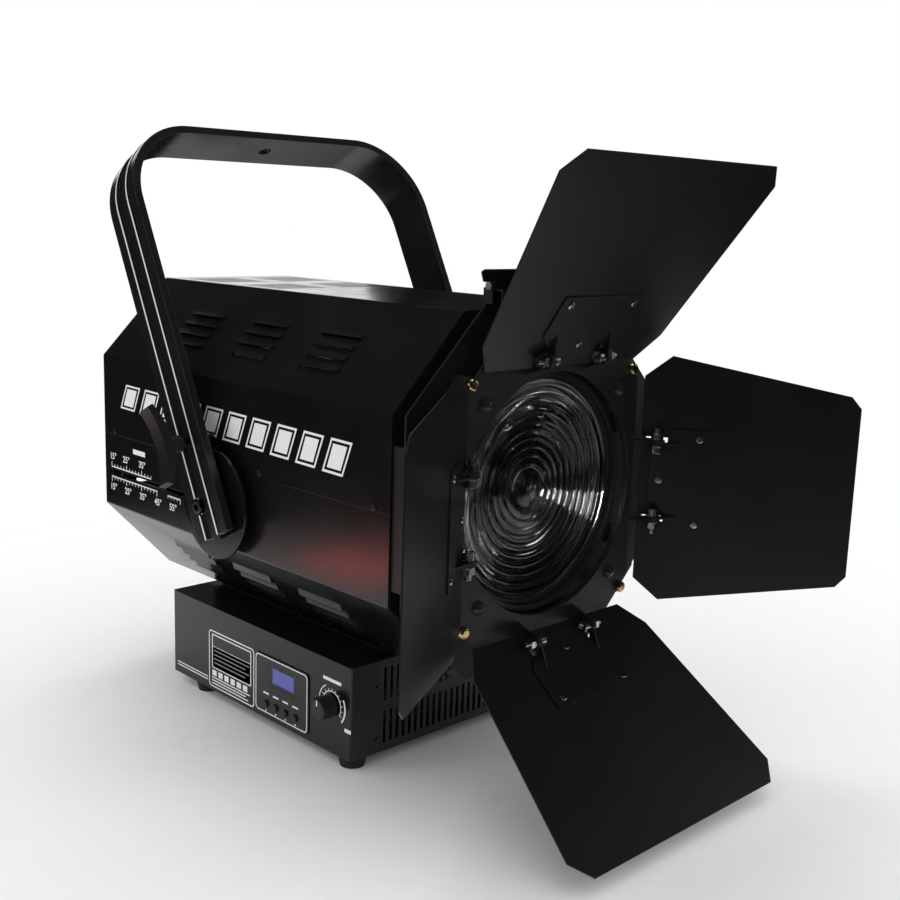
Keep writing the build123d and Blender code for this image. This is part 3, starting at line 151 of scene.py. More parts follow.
def finish_material(name, dark, light, rough, rubbed=RUBBED, grain=(900, 0.1), mottle=14, rub=0.4, dust=0.1,
                    even=0.15, metallic=0.0, coat=0.0, specular=0.5):
    """A skin that varies between two colours and two roughnesses, with rubbed edges and dust."""
    mat = bpy.data.materials.new(name)
    mat.use_nodes = True
    t = mat.node_tree
    shade = t.nodes["Principled BSDF"]
    skin = node(t, "ShaderNodeGroup", -400, node_tree=SKIN)
    for key, value in (("Grain Size", grain[0]), ("Grain Height", grain[1]), ("Mottle Size", mottle),
                       ("Rub", rub), ("Rub Evenness", even), ("Dust", dust)):
        skin.inputs[key].default_value = value
    base = mix_colour(t, skin.outputs["Mottle"], dark, light, -200)
    worn = mix_colour(t, skin.outputs["Edge"], base, rubbed, -100)
    dusty = mix_colour(t, skin.outputs["Dusting"], worn, DUST_COLOUR, 0)
    t.links.new(dusty, shade.inputs["Base Color"])
    gloss = remap(t, skin.outputs["Mottle"], -100, 0.3, 0.7, rough[0], rough[1])
    t.links.new(gloss.outputs["Result"], shade.inputs["Roughness"])
    t.links.new(skin.outputs["Normal"], shade.inputs["Normal"])
    shade.inputs["Metallic"].default_value = metallic
    shade.inputs["Specular IOR Level"].default_value = specular
    shade.inputs["Coat Weight"].default_value = coat
    shade.inputs["Coat Roughness"].default_value = COAT_ROUGHNESS
    return mat


def dress(mat, *names):
    """Gives CAD nodes their finish and smooth curves with crisp edges."""
    for name in names:
        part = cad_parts[name]
        part.data.materials.clear()
        part.data.materials.append(mat)
        for face in part.data.polygons:
            face.use_smooth = True
            face.material_index = 0
        weld = part.modifiers.new("weld", "WELD")
        weld.merge_threshold = WELD_GAP
        split = part.modifiers.new("crisp", "EDGE_SPLIT")
        split.split_angle = CRISP_ANGLE


satin = finish_material("satin_black_paint", PAINT_BLACK, PAINT_GREY, (0.16, 0.24),
                        grain=(700, 0.04), dust=0.05, specular=0.42)
dress(satin, "upper_cover", "lower_cover", "front_panel", "rear_panel", "base_shell", "base_floor",
      "inner_brackets", "pivot_bosses")
disc_paint = finish_material("gloss_disc_paint", PAINT_BLACK, PAINT_GREY, (0.10, 0.18),
                             grain=(500, 0.03), dust=0.05)
dress(disc_paint, "pivot_discs")


# ---------------------------------------------------------------- printing on the left side
# White screen print on the cover: the zoom scale beside the pointer's slot, with its marks and degrees,
# and a plain row of slanting bars. The ink stands a few hundredths of a millimetre proud.
SIDE_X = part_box("upper_cover")[0].x
PROUD = 0.00012
STROKE_GAIN = 0.012          # how much the ink swells a figure's strokes, as a share of its height


def ink_material(name, colour, rough):
    mat = bpy.data.materials.new(name)
    mat.use_nodes = True
    t = mat.node_tree
    shade = t.nodes["Principled BSDF"]
    place = node(t, "ShaderNodeTexCoord", -600)
    mesh_dots = node(t, "ShaderNodeTexNoise", -400, Scale=900.0, Detail=3.0)
    t.links.new(place.outputs["Object"], mesh_dots.inputs["Vector"])
    thin = mix_colour(t, mesh_dots.outputs["Fac"], [0.78 * c for c in colour[:3]] + [1], colour, -200)
    t.links.new(thin, shade.inputs["Base Color"])
    dents = node(t, "ShaderNodeBump", -200, Strength=0.15, Distance=0.0001)
    t.links.new(mesh_dots.outputs["Fac"], dents.inputs["Height"])
    t.links.new(dents.outputs["Normal"], shade.inputs["Normal"])
    shade.inputs["Roughness"].default_value = rough
    return mat


WHITE_INK = ink_material("white_screen_ink", (0.86, 0.87, 0.88, 1), 0.45)


def add_piece(name, mesh, mat):
    """Puts a mesh with its material in the scene."""
    piece = bpy.data.objects.new(name, mesh)
    bpy.context.scene.collection.objects.link(piece)
    mesh.materials.append(mat)
    return piece


def print_flat(name, shapes, x, mat, body="root", thick=PROUD):
    """Thin ink shapes on a plane that faces -X. A shape is a list of (y, z) corners, or (outside, inside)."""
    bm = bmesh.new()
    for shape in shapes:
        outside, inside = (shape if isinstance(shape, tuple) else (shape, None))
        rings = [[bm.verts.new((x - d, y, z)) for y, z in ring] for ring in (outside, inside) if ring
                 for d in (thick, 0.0)]
        if inside is None:
            top, low = rings
            bm.faces.new(top)
            pairs = [(top, low)]
        else:
            top, low, top_in, low_in = rings
            for i in range(len(top)):
                j = (i + 1) % len(top)
                bm.faces.new((top[i], top[j], top_in[j], top_in[i]))
            pairs = [(top, low), (low_in, top_in)]
        for a, b in pairs:
            for i in range(len(a)):
                j = (i + 1) % len(a)
                bm.faces.new((a[i], b[i], b[j], a[j]))
    bmesh.ops.recalc_face_normals(bm, faces=bm.faces)
    mesh = bpy.data.meshes.new(name)
    bm.to_mesh(mesh)
    bm.free()
    piece = add_piece(name, mesh, mat)
    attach(piece, body)
    return piece


def bar(y0, z0, y1, z1, width):
    """A straight stroke between two points."""
    along = Vector((y1 - y0, z1 - z0)).normalized() * (width / 2)
    across = Vector((-along.y, along.x))
    a, b = Vector((y0, z0)), Vector((y1, z1))
    return [tuple(a + across), tuple(a - across), tuple(b - across), tuple(b + across)]


def round_rect(y0, y1, z0, z1, r, steps=6):
    """The outline of a rectangle with round corners, each of so many steps."""
    pts = []
    corners = ((y1 - r, z1 - r, 0), (y0 + r, z1 - r, 90), (y0 + r, z0 + r, 180), (y1 - r, z0 + r, 270))
    for cy, cz, start in corners:
        for i in range(steps + 1):
            a = math.radians(start + 90 * i / steps)
            pts.append((cy + r * math.cos(a), cz + r * math.sin(a)))
    return pts


def print_text(name, text, size, y, z, x, mat):
    """Numbers on a fixed plane that faces -X, centred on (y, z)."""
    curve = bpy.data.curves.new(name, "FONT")
    curve.body = text
    curve.size = size
    curve.align_x, curve.align_y = "CENTER", "CENTER"
    curve.extrude = PROUD / 2
    curve.offset = STROKE_GAIN * size
    holder = bpy.data.objects.new(name + "_curve", curve)
    bpy.context.scene.collection.objects.link(holder)
    bpy.context.view_layer.update()
    mesh = bpy.data.meshes.new_from_object(holder.evaluated_get(bpy.context.evaluated_depsgraph_get()))
    bpy.data.objects.remove(holder)
    upright = Matrix(((0, 0, -1), (-1, 0, 0), (0, 1, 0))).to_4x4()
    mesh.transform(Matrix.Translation((x - PROUD / 2, y, z)) @ upright)
    mesh.materials.clear()
    piece = add_piece(name, mesh, mat)
    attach(piece, "root")
    return piece


LINE, TICK = 0.0012, 0.0008
UPPER_LINE, LOWER_LINE = 0.2163, 0.2060      # heights of the scale lines above and below the slot
SCALE_REAR = 0.2135
LONG_TICK, SHORT_TICK, TICKS_BETWEEN = 0.0052, 0.0030, 5
FIGURE, UPPER_FIGURES, LOWER_FIGURES = 0.0094, 0.2270, 0.1950
scale_shapes = [bar(SCALE_REAR, UPPER_LINE, 0.136, UPPER_LINE, LINE),
                bar(SCALE_REAR, LOWER_LINE, 0.1245, LOWER_LINE, LINE),
                bar(0.105, LOWER_LINE - 0.0005, 0.083, LOWER_LINE - 0.0005, LINE)]
UPPER_MARKS = [0.2130 - 0.0059 * i for i in range(14)]
LOWER_MARKS = [0.2130 - 0.00584 * i for i in range(16)] + [0.105 - 0.0055 * i for i in range(5)]
for marks_y, line_z, way in ((UPPER_MARKS, UPPER_LINE, 1), (LOWER_MARKS, LOWER_LINE, -1)):
    for i, y in enumerate(marks_y):
        tick = LONG_TICK if i % TICKS_BETWEEN == 0 else SHORT_TICK
        scale_shapes.append(bar(y, line_z, y, line_z + way * tick, TICK))
scale_shapes.append(bar(0.170, 0.2385, 0.147, 0.2385, 0.0050))
print_flat("zoom_scale_lines", scale_shapes, SIDE_X, WHITE_INK)
for label, y in (("15°", 0.210), ("25°", 0.184), ("35°", 0.153)):
    print_text("scale_top_" + label[:2], label, FIGURE, y, UPPER_FIGURES, SIDE_X, WHITE_INK)
for label, y in (("15°", 0.210), ("25°", 0.181), ("35°", 0.152), ("45°", 0.1235), ("55°", 0.096)):
    print_text("scale_low_" + label[:2], label, FIGURE, y, LOWER_FIGURES, SIDE_X, WHITE_INK)

BARS = 10
BAR_FILL, BAR_LEAN = 0.74, 0.006             # share of the pitch that a bar takes, and how far it leans
BAR_HALF_H, BAR_GROWTH = 0.0125, 0.0026      # the bars grow a little towards the front
BAND_REAR, BAND_LONG, BAND_HIGH, BAND_DROP = 0.187, 0.363, 0.2920, 0.0060


def shrunk(corners, share_y, share_z):
    """The same corners drawn in towards their middle."""
    mid_y = sum(p[0] for p in corners) / len(corners)
    mid_z = sum(p[1] for p in corners) / len(corners)
    return [(mid_y + share_y * (y - mid_y), mid_z + share_z * (z - mid_z)) for y, z in corners]


def slanting_bar(start):
    """A bar's corners; start is its place along the band, from 0 at the rear to 1."""
    stop = start + BAR_FILL / BARS
    rear, front = BAND_REAR - BAND_LONG * start, BAND_REAR - BAND_LONG * stop
    middle = BAND_HIGH - BAND_DROP * (start + stop) / 2
    tall = BAR_HALF_H + BAR_GROWTH * start
    fall = BAND_DROP / BAND_LONG * (rear - front) / 2
    return [(rear - BAR_LEAN, middle + tall + fall), (front - BAR_LEAN, middle + tall - fall),
            (front + BAR_LEAN, middle - tall - fall), (rear + BAR_LEAN, middle - tall + fall)]


band = []
for i in range(BARS):
    outer = slanting_bar(i / BARS)
    band += [(outer, shrunk(outer, 0.86, 0.86)), shrunk(outer, 0.66, 0.70)]
print_flat("side_bars", band, SIDE_X, WHITE_INK)


# ---------------------------------------------------------------- front flange, lens tube, door plate, gate
# Laser-cut steel plates with folded rims, spaced off on posts, matt black like the leaves; the gate is
# a sprung flap on a wire pin that closes the top of the filter slot.
matt = finish_material("matt_black_plate", (0.006, 0.006, 0.0062, 1), (0.011, 0.011, 0.0112, 1),
                       (0.34, 0.48), grain=(1100, 0.16), rub=0.6, dust=0.04, specular=0.4)
dress(matt, "front_flange", "lens_tube", "door_plate", "gate")
post_paint = finish_material("black_post_paint", (0.008, 0.008, 0.008, 1), (0.014, 0.014, 0.014, 1),
                             (0.22, 0.34), rub=0.5, dust=0.0)
dress(post_paint, "spacer_posts", "door_screws", "case_screws")

# ---------------------------------------------------------------- barn-door leaves and their hinge brackets
# 1.2 mm sheet leaves with clipped corners, each riveted to a folded bracket that swings on two bolts.
# The spray is matt with a fine dry grain, rubbed bright along the cut edges.
leaf_paint = finish_material("leaf_matt_black", (0.0042, 0.0042, 0.0044, 1), (0.0085, 0.0085, 0.0090, 1),
                             (0.30, 0.44), grain=(1500, 0.22), mottle=9, rub=0.7, dust=0.03, specular=0.36)
for side in ("top", "right", "bottom", "left"):
    dress(leaf_paint, f"leaf_{side}_plate", f"leaf_{side}_bracket")


# ---------------------------------------------------------------- bolts, washers, nuts and posts
# Zinc-plated steel with a faint directional polish, and brass screws in the spacer posts.
def metal(name, dark, light, rough, rub_colour, grain=(1800, 0.10)):
    return finish_material(name, dark, light, rough, rubbed=rub_colour, grain=grain,
                           mottle=60, rub=0.5, dust=0.0, metallic=1.0)


zinc = metal("zinc_plate", (0.50, 0.50, 0.49, 1), (0.74, 0.74, 0.72, 1), (0.16, 0.30), (0.85, 0.85, 0.84, 1))
brass = metal("bright_brass", (0.56, 0.40, 0.17, 1), (0.80, 0.62, 0.32, 1), (0.14, 0.28), (0.9, 0.78, 0.5, 1))
black_oxide = metal("black_oxide", (0.045, 0.045, 0.048, 1), (0.09, 0.09, 0.095, 1), (0.24, 0.38),
                    (0.3, 0.3, 0.3, 1))
for side in ("top", "right", "bottom", "left"):
    dress(zinc, f"leaf_{side}_fasteners")
dress(zinc, "gate_pin", "guide_rods", "lead_screw")
dress(brass, "post_screws")
dress(black_oxide, "pivot_bolts", "tilt_stud")

# ---------------------------------------------------------------- yoke
# A channel-section aluminium extrusion bent into a hoop and sprayed satin black; long die lines run with the
# bar. Its edge rub is partly wear and partly painted highlight, and thin painted highlights run along the two
# lips of its outer face.
# The yoke's edge rub is turned up (a lighter rubbed colour, full rub): partly wear, partly painted highlight
# along edges that catch the lamps.
yoke_paint = finish_material("yoke_satin_black", (0.0055, 0.0055, 0.0060, 1), (0.013, 0.013, 0.0135, 1),
                             (0.16, 0.26), rubbed=(0.10, 0.10, 0.105, 1), grain=(400, 0.05), mottle=30,
                             rub=1.0, dust=0.06, even=0.6)
YOKE_LEAN = math.radians(27)
YOKE_MIDDLE = (0.0, 0.0822, 0.3820)
RIDGE_OUT, RIDGE_HALF = 0.0104, 0.0010
t = yoke_paint.node_tree
shade = t.nodes["Principled BSDF"]
place = node(t, "ShaderNodeTexCoord", -1200)
facing = node(t, "ShaderNodeNewGeometry", -1200)
from_middle = node(t, "ShaderNodeVectorMath", -1000, operation="SUBTRACT")
t.links.new(place.outputs["Object"], from_middle.inputs[0])
from_middle.inputs[1].default_value = YOKE_MIDDLE
across_bar = node(t, "ShaderNodeVectorMath", -800, operation="DOT_PRODUCT")
t.links.new(from_middle.outputs["Vector"], across_bar.inputs[0])
across_bar.inputs[1].default_value = (0.0, -math.cos(YOKE_LEAN), math.sin(YOKE_LEAN))
either_side = node(t, "ShaderNodeMath", -700, operation="ABSOLUTE")
t.links.new(across_bar.outputs["Value"], either_side.inputs[0])
on_ridge = node(t, "ShaderNodeMath", -600, operation="COMPARE")
t.links.new(either_side.outputs["Value"], on_ridge.inputs[0])
on_ridge.inputs[1].default_value = RIDGE_OUT
on_ridge.inputs[2].default_value = RIDGE_HALF
outward = node(t, "ShaderNodeVectorMath", -800, operation="DOT_PRODUCT")
t.links.new(facing.outputs["Normal"], outward.inputs[0])
t.links.new(from_middle.outputs["Vector"], outward.inputs[1])
outside = node(t, "ShaderNodeMath", -600, operation="GREATER_THAN")
t.links.new(outward.outputs["Value"], outside.inputs[0])
outside.inputs[1].default_value = 0.02
# Thin near-white bands on the outer face of the two lips: painted highlights where the rounded lips would
# catch the light.
ridge_glint_mask = times(t, on_ridge.outputs["Value"], outside.outputs["Value"], -500)
bare = shade.inputs["Base Color"].links[0].from_socket
painted_ridge_glints = mix_colour(t, ridge_glint_mask, bare, (0.70, 0.70, 0.71, 1), 100)
t.links.new(painted_ridge_glints, shade.inputs["Base Color"])
dress(yoke_paint, "yoke_bar")

# ---------------------------------------------------------------- moulded plastic pieces
# Glass-filled nylon lever, knobs, pointer, fan and sockets: charcoal black with a spark-eroded grain.
nylon = finish_material("grained_black_nylon", (0.007, 0.007, 0.0072, 1), (0.015, 0.015, 0.0155, 1),
                        (0.34, 0.48), grain=(2600, 0.35), mottle=40, rub=0.35, dust=0.04)
dress(nylon, "tilt_lever", "zoom_knob", "dimmer_knob", "zoom_pointer", "fan_frame", "fan_rotor",
      "power_inlet", "data_sockets", "button_1", "button_2", "button_3", "button_4")
rubber = finish_material("black_rubber", (0.006, 0.006, 0.006, 1), (0.012, 0.012, 0.012, 1),
                         (0.62, 0.78), grain=(1300, 0.4), mottle=50, rub=0.2, dust=0.25)
dress(rubber, "feet", "seals")

# ---------------------------------------------------------------- lens
# Pressed clear glass 197 mm across: stepped rings on the front round a plain bull's-eye, pebbled behind.
glass = bpy.data.materials.new("pressed_glass")
glass.use_nodes = True
t = glass.node_tree
shade = t.nodes["Principled BSDF"]
for key, value in (("Transmission Weight", 1.0), ("Roughness", 0.08), ("IOR", 1.5), ("Metallic", 0.0)):
    shade.inputs[key].default_value = value
place = node(t, "ShaderNodeTexCoord", -900)
swirl = node(t, "ShaderNodeTexNoise", -700, Scale=55.0, Detail=2.0)
pebble = node(t, "ShaderNodeTexVoronoi", -700, Scale=330.0, feature="SMOOTH_F1")
t.links.new(place.outputs["Object"], swirl.inputs["Vector"])
t.links.new(place.outputs["Object"], pebble.inputs["Vector"])
pressed = node(t, "ShaderNodeBump", -400, Strength=0.10, Distance=0.0005)
t.links.new(pebble.outputs["Distance"], pressed.inputs["Height"])
wavy = node(t, "ShaderNodeBump", -200, Strength=0.06, Distance=0.001)
t.links.new(swirl.outputs["Fac"], wavy.inputs["Height"])
t.links.new(pressed.outputs["Normal"], wavy.inputs["Normal"])
t.links.new(wavy.outputs["Normal"], shade.inputs["Normal"])
tint = mix_colour(t, swirl.outputs["Fac"], (0.80, 0.84, 0.83, 1), (0.90, 0.93, 0.92, 1), -200)
t.links.new(tint, shade.inputs["Base Color"])
LENS_LOW, LENS_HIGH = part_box("lens")
LENS_R = (LENS_HIGH.x - LENS_LOW.x) / 2
LENS_MID_Z = (LENS_LOW.z + LENS_HIGH.z) / 2
RIM_W, BULLSEYE_R, RINGS = 0.0025, 0.0195, 10
RING_W = (LENS_R - RIM_W - BULLSEYE_R) / RINGS
DISH = 0.0065
TIP_R, CHAMFER = 0.0001, 0.0004
CREST_SHARE = 0.22           # how much of a ring's width is its steep inner side
RING_STEPS, EYE_STEPS, TURNS = 12, 8, 180


def ring_crest(radius):
    """How far forward a ring's crest stands: a shallow dish from the rim to the middle."""
    return LENS_LOW.y + 0.0002 + DISH * (1 - (radius / LENS_R) ** 2)


def lens_profile():
    """Half the lens's section as (radius, y), from the middle of the back to the middle of the front."""
    points = [(TIP_R, LENS_HIGH.y), (LENS_R * 0.5, LENS_HIGH.y), (LENS_R, LENS_HIGH.y),
              (LENS_R, LENS_LOW.y + CHAMFER), (LENS_R - CHAMFER, LENS_LOW.y), (LENS_R - RIM_W, LENS_LOW.y)]
    outer = LENS_R - RIM_W
    for _ in range(RINGS):
        inner = outer - RING_W
        drop = 0.0012 + 0.0018 * (outer - BULLSEYE_R) / (LENS_R - BULLSEYE_R)
        for k in range(RING_STEPS + 1):
            part = 1 - k / RING_STEPS
            if part > CREST_SHARE:
                height = math.cos((part - CREST_SHARE) / (1 - CREST_SHARE) * math.pi / 2)
            else:
                height = math.sin((part / CREST_SHARE) * math.pi / 2)
            points.append((inner + RING_W * part - (0.00002 if k == RING_STEPS else 0),
                           ring_crest(inner) + drop * (1 - height) + 0.00001 * k))
        outer = inner
    for k in range(1, EYE_STEPS + 1):
        radius = max(BULLSEYE_R * (1 - k / EYE_STEPS), TIP_R)
        points.append((radius, ring_crest(BULLSEYE_R) + 0.0030 - 0.0034 * (1 - (radius / BULLSEYE_R) ** 2)))
    return points


bm = bmesh.new()
rows = []
for r, y in lens_profile():
    angles = [2 * math.pi * i / TURNS for i in range(TURNS)]
    rows.append([bm.verts.new((r * math.cos(a), y, LENS_MID_Z + r * math.sin(a))) for a in angles])
for a, b in zip(rows, rows[1:] + rows[:1]):
    for i in range(TURNS):
        j = (i + 1) % TURNS
        bm.faces.new((a[i], b[i], b[j], a[j])).smooth = True
bmesh.ops.remove_doubles(bm, verts=bm.verts, dist=0.00006)
bmesh.ops.recalc_face_normals(bm, faces=bm.faces)
lens_mesh = bpy.data.meshes.new("lens_glass")
bm.to_mesh(lens_mesh)
bm.free()
lens_glass = add_piece("lens_glass", lens_mesh, glass)
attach(lens_glass, "root")
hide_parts("lens")

# ---------------------------------------------------------------- light engine inside the housing
# Spun aluminium reflector, finned heat sink on a bent plate, and the emitter board with its grid of dies.
reflector_skin = metal("spun_reflector", (0.70, 0.70, 0.71, 1), (0.86, 0.86, 0.87, 1), (0.08, 0.16),
                       (0.9, 0.9, 0.9, 1), grain=(300, 0.05))
dress(reflector_skin, "reflector")
raw_aluminium = metal("mill_aluminium", (0.42, 0.42, 0.43, 1), (0.58, 0.58, 0.59, 1), (0.34, 0.48),
                      (0.7, 0.7, 0.7, 1), grain=(900, 0.25))
dress(raw_aluminium, "heat_sink", "carriage_plate", "led_module", "power_supply")
DIE, DIE_THICK, DIE_PITCH, DIE_CHAMFER = 0.0036, 0.0006, 0.0050, 0.00018
DIE_REACH = 3                # dies each side of the middle one
phosphor = finish_material("yellow_phosphor", (0.62, 0.44, 0.03, 1), (0.80, 0.62, 0.08, 1), (0.35, 0.5),
                           rubbed=(0.9, 0.8, 0.3, 1), grain=(2500, 0.3), mottle=150, rub=0.2,
                           dust=0.0, coat=0.4)
led_low, led_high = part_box("led_module")
led_mid = (led_low + led_high) / 2
bm = bmesh.new()
for i in range(-DIE_REACH, DIE_REACH + 1):
    for k in range(-DIE_REACH, DIE_REACH + 1):
        if math.hypot(i, k) > DIE_REACH + 0.7:
            continue
        middle = (led_mid.x + i * DIE_PITCH, led_low.y - DIE_THICK / 2, led_mid.z + k * DIE_PITCH)
        die = bmesh.ops.create_cube(bm, size=1.0)["verts"]
        bmesh.ops.scale(bm, vec=(DIE, DIE_THICK, DIE), verts=die)
        bmesh.ops.translate(bm, vec=middle, verts=die)
bmesh.ops.bevel(bm, geom=bm.edges[:], offset=DIE_CHAMFER, segments=2, affect="EDGES")
dies = bpy.data.meshes.new("emitter_dies")
bm.to_mesh(dies)
bm.free()
emitter = add_piece("emitter_dies", dies, phosphor)
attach(emitter, "carriage")


# ---------------------------------------------------------------- circuit boards
# Glass-fibre boards with green solder mask over copper tracks; the parts on them share the lacquer.
board = bpy.data.materials.new("green_circuit_board")
board.use_nodes = True
t = board.node_tree
shade = t.nodes["Principled BSDF"]
place = node(t, "ShaderNodeTexCoord", -900)
tracks = node(t, "ShaderNodeTexBrick", -600, Scale=90.0, Mortar_Size=0.03)
t.links.new(place.outputs["Object"], tracks.inputs["Vector"])
weave = node(t, "ShaderNodeTexNoise", -600, Scale=700.0, Detail=4.0)
t.links.new(place.outputs["Object"], weave.inputs["Vector"])
mask_green = mix_colour(t, weave.outputs["Fac"], (0.006, 0.055, 0.020, 1), (0.012, 0.095, 0.034, 1), -300)
tracked = mix_colour(t, tracks.outputs["Fac"], mask_green, (0.05, 0.21, 0.07, 1), -100)
t.links.new(tracked, shade.inputs["Base Color"])
relief = node(t, "ShaderNodeBump", -100, Strength=0.3, Distance=0.0002)
t.links.new(tracks.outputs["Fac"], relief.inputs["Height"])
t.links.new(relief.outputs["Normal"], shade.inputs["Normal"])
shade.inputs["Roughness"].default_value = 0.28
dress(board, "control_board", "driver_board")

# ---------------------------------------------------------------- control panel, display and dimmer marks
# A thin textured overlay glued to the base, with a blue liquid-crystal window, four keys and the dimmer's
# printed arc. The printing is plain: a frame, a short bar over each key and a dot under it.
overlay = finish_material("panel_overlay", (0.007, 0.007, 0.0074, 1), (0.013, 0.013, 0.0135, 1), (0.26, 0.36),
                          grain=(2200, 0.25), mottle=40, rub=0.5, dust=0.03)
dress(overlay, "control_panel")
panel_low, panel_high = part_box("control_panel")
PANEL_X = panel_low.x
KEYS = [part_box(f"button_{n}") for n in (1, 2, 3, 4)]
FRAME_INSET, FRAME_LINE = 0.0012, 0.0010


def inset_rect(low, high, inset, r):
    """A rounded outline that runs inside a box's -X face."""
    return round_rect(low.y + inset, high.y - inset, low.z + inset, high.z - inset, r)


marks = [(inset_rect(panel_low, panel_high, FRAME_INSET, 0.0045),
          inset_rect(panel_low, panel_high, FRAME_INSET + FRAME_LINE, 0.0037))]
for low, high in KEYS:
    y = (low.y + high.y) / 2
    marks.append(bar(y + 0.0042, high.z + 0.0055, y - 0.0042, high.z + 0.0055, 0.0016))
    marks.append(round_rect(y - 0.0010, y + 0.0010, low.z - 0.0026, low.z - 0.0010, 0.0007, 3))
print_flat("panel_marks", marks, PANEL_X, WHITE_INK)

window = bpy.data.materials.new("blue_display")
window.use_nodes = True
t = window.node_tree
shade = t.nodes["Principled BSDF"]
place = node(t, "ShaderNodeTexCoord", -900)
dots = node(t, "ShaderNodeTexChecker", -600, Scale=2400.0)
t.links.new(place.outputs["Object"], dots.inputs["Vector"])
cloud = node(t, "ShaderNodeTexNoise", -600, Scale=26.0, Detail=2.0)
t.links.new(place.outputs["Object"], cloud.inputs["Vector"])
lit = mix_colour(t, cloud.outputs["Fac"], (0.030, 0.036, 0.20, 1), (0.065, 0.075, 0.34, 1), -300)
fine_dots = mix_colour(t, dots.outputs["Fac"], lit, (0.050, 0.058, 0.27, 1), -100)
t.links.new(fine_dots, shade.inputs["Base Color"])
t.links.new(fine_dots, shade.inputs["Emission Color"])
shade.inputs["Emission Strength"].default_value = 0.35
shade.inputs["Roughness"].default_value = 0.16
shade.inputs["Coat Weight"].default_value = 0.5
dress(window, "display_window")
win_low, win_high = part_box("display_window")
bezel = finish_material("display_bezel", (0.004, 0.004, 0.005, 1), (0.008, 0.008, 0.009, 1), (0.12, 0.2),
                        dust=0.0)
EDGE_Y, EDGE_Z = 0.0060, 0.0034
print_flat("display_border", [(round_rect(win_low.y, win_high.y, win_low.z, win_high.z, 0.0006),
                               round_rect(win_low.y + EDGE_Y, win_high.y - EDGE_Y, win_low.z + EDGE_Z,
                                          win_high.z - EDGE_Z, 0.0006))], win_low.x, bezel)

knob_low, knob_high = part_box("dimmer_knob")
KNOB = ((knob_low.y + knob_high.y) / 2, (knob_low.z + knob_high.z) / 2)
BASE_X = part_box("base_shell")[0].x


def arc(radius0, radius1, start, stop, steps=28):
    """A ring segment about the dimmer, between two radii, with its angles in degrees from +Y towards +Z."""
    pts = []
    for radius, first, last in ((radius0, start, stop), (radius1, stop, start)):
        for i in range(steps + 1):
            a = math.radians(first + (last - first) * i / steps)
            pts.append((KNOB[0] + radius * math.cos(a), KNOB[1] + radius * math.sin(a)))
    return pts


dial = [arc(0.0130, 0.0120, -40, 215), arc(0.0185, 0.0175, 10, 62)]
dial += [arc(0.0191, 0.0172, 150, 222)]
dial += [arc(0.0150, 0.0135, a - 1.6, a + 1.6, 3) for a in range(-30, 211, 20)]
dial.append(bar(KNOB[0] + 0.0125, 0.0775, KNOB[0] - 0.0125, 0.0775, 0.0030))
dial.append(bar(KNOB[0] - 0.0180, 0.0375, KNOB[0] - 0.0265, 0.0375, 0.0034))
print_flat("dimmer_marks", dial, BASE_X, WHITE_INK)
print_flat("dimmer_pointer", [bar(KNOB[0], KNOB[1] + 0.0030, KNOB[0], KNOB[1] + 0.0085, 0.0013)], knob_low.x,
           WHITE_INK, body="dimmer")

# ---------------------------------------------------------------- rating plate on the base
# A printed foil glued beside the display. It carries plain bars only, in the place of its wording.
LABEL = (0.0010, 0.0780, 0.0135, 0.0720)
label = [(round_rect(*LABEL, 0.004), round_rect(LABEL[0] + 0.0012, LABEL[1] - 0.0012, LABEL[2] + 0.0012,
                                                LABEL[3] - 0.0012, 0.003))]
label += [(round_rect(0.0060, 0.0725, 0.0335, 0.0685, 0.0010),
           round_rect(0.0072, 0.0713, 0.0560, 0.0673, 0.0006)),
          round_rect(0.0072, 0.0713, 0.0345, 0.0555, 0.0006)]
label += [bar(0.0720 - 0.0105 * i, 0.0285, 0.0648 - 0.0105 * i, 0.0285, 0.0058) for i in range(6)]
label += [bar(0.0730, z, end, z, 0.0012) for z, end in ((0.0235, 0.0080), (0.0205, 0.0150), (0.0175, 0.0110))]
print_flat("rating_plate_print", label, BASE_X, WHITE_INK)
grey_ink = ink_material("grey_screen_ink", (0.22, 0.22, 0.23, 1), 0.5)
grey_rows = []
for i in range(4):
    z = 0.0520 - 0.0042 * i
    grey_rows.append(bar(0.0690, z, 0.0095 + 0.006 * (i % 2), z, 0.0012))
print_flat("rating_plate_lines", grey_rows, BASE_X - PROUD, grey_ink)
print_flat("base_stripes", [bar(0.1360, z, 0.0800, z, 0.0011) for z in (0.0215, 0.0185)], BASE_X, WHITE_INK)


# ---------------------------------------------------------------- floor, light and camera
# A pale floor that fades into the white surround, with soft lights overhead, behind and on each side. Two
# more light only the lens, so that its rings catch them, and a small red one glows low on the left side.
floor_mesh = bpy.data.meshes.new("floor")
FLOOR_R = 0.95
bm = bmesh.new()
bmesh.ops.create_circle(bm, cap_ends=True, radius=FLOOR_R, segments=96)
bm.to_mesh(floor_mesh)
bm.free()
floor_mat = bpy.data.materials.new("pale_floor")
floor_mat.use_nodes = True
t = floor_mat.node_tree
shade = t.nodes["Principled BSDF"]
place = node(t, "ShaderNodeTexCoord", -900)
reach = node(t, "ShaderNodeVectorMath", -700, operation="LENGTH")
t.links.new(place.outputs["Object"], reach.inputs[0])
fade = remap(t, reach.outputs["Value"], -500, 0.50, 0.94, 1.0, 0.0)
fade.interpolation_type = "SMOOTHSTEP"
t.links.new(fade.outputs["Result"], shade.inputs["Alpha"])
tooth = node(t, "ShaderNodeTexNoise", -700, Scale=60.0, Detail=4.0)
t.links.new(place.outputs["Object"], tooth.inputs["Vector"])
pale = mix_colour(t, tooth.outputs["Fac"], (0.86, 0.86, 0.855, 1), (0.90, 0.90, 0.895, 1), -200)
t.links.new(pale, shade.inputs["Base Color"])
shade.inputs["Roughness"].default_value = 0.8
shade.inputs["Specular IOR Level"].default_value = 0.2
floor = add_piece("floor", floor_mesh, floor_mat)

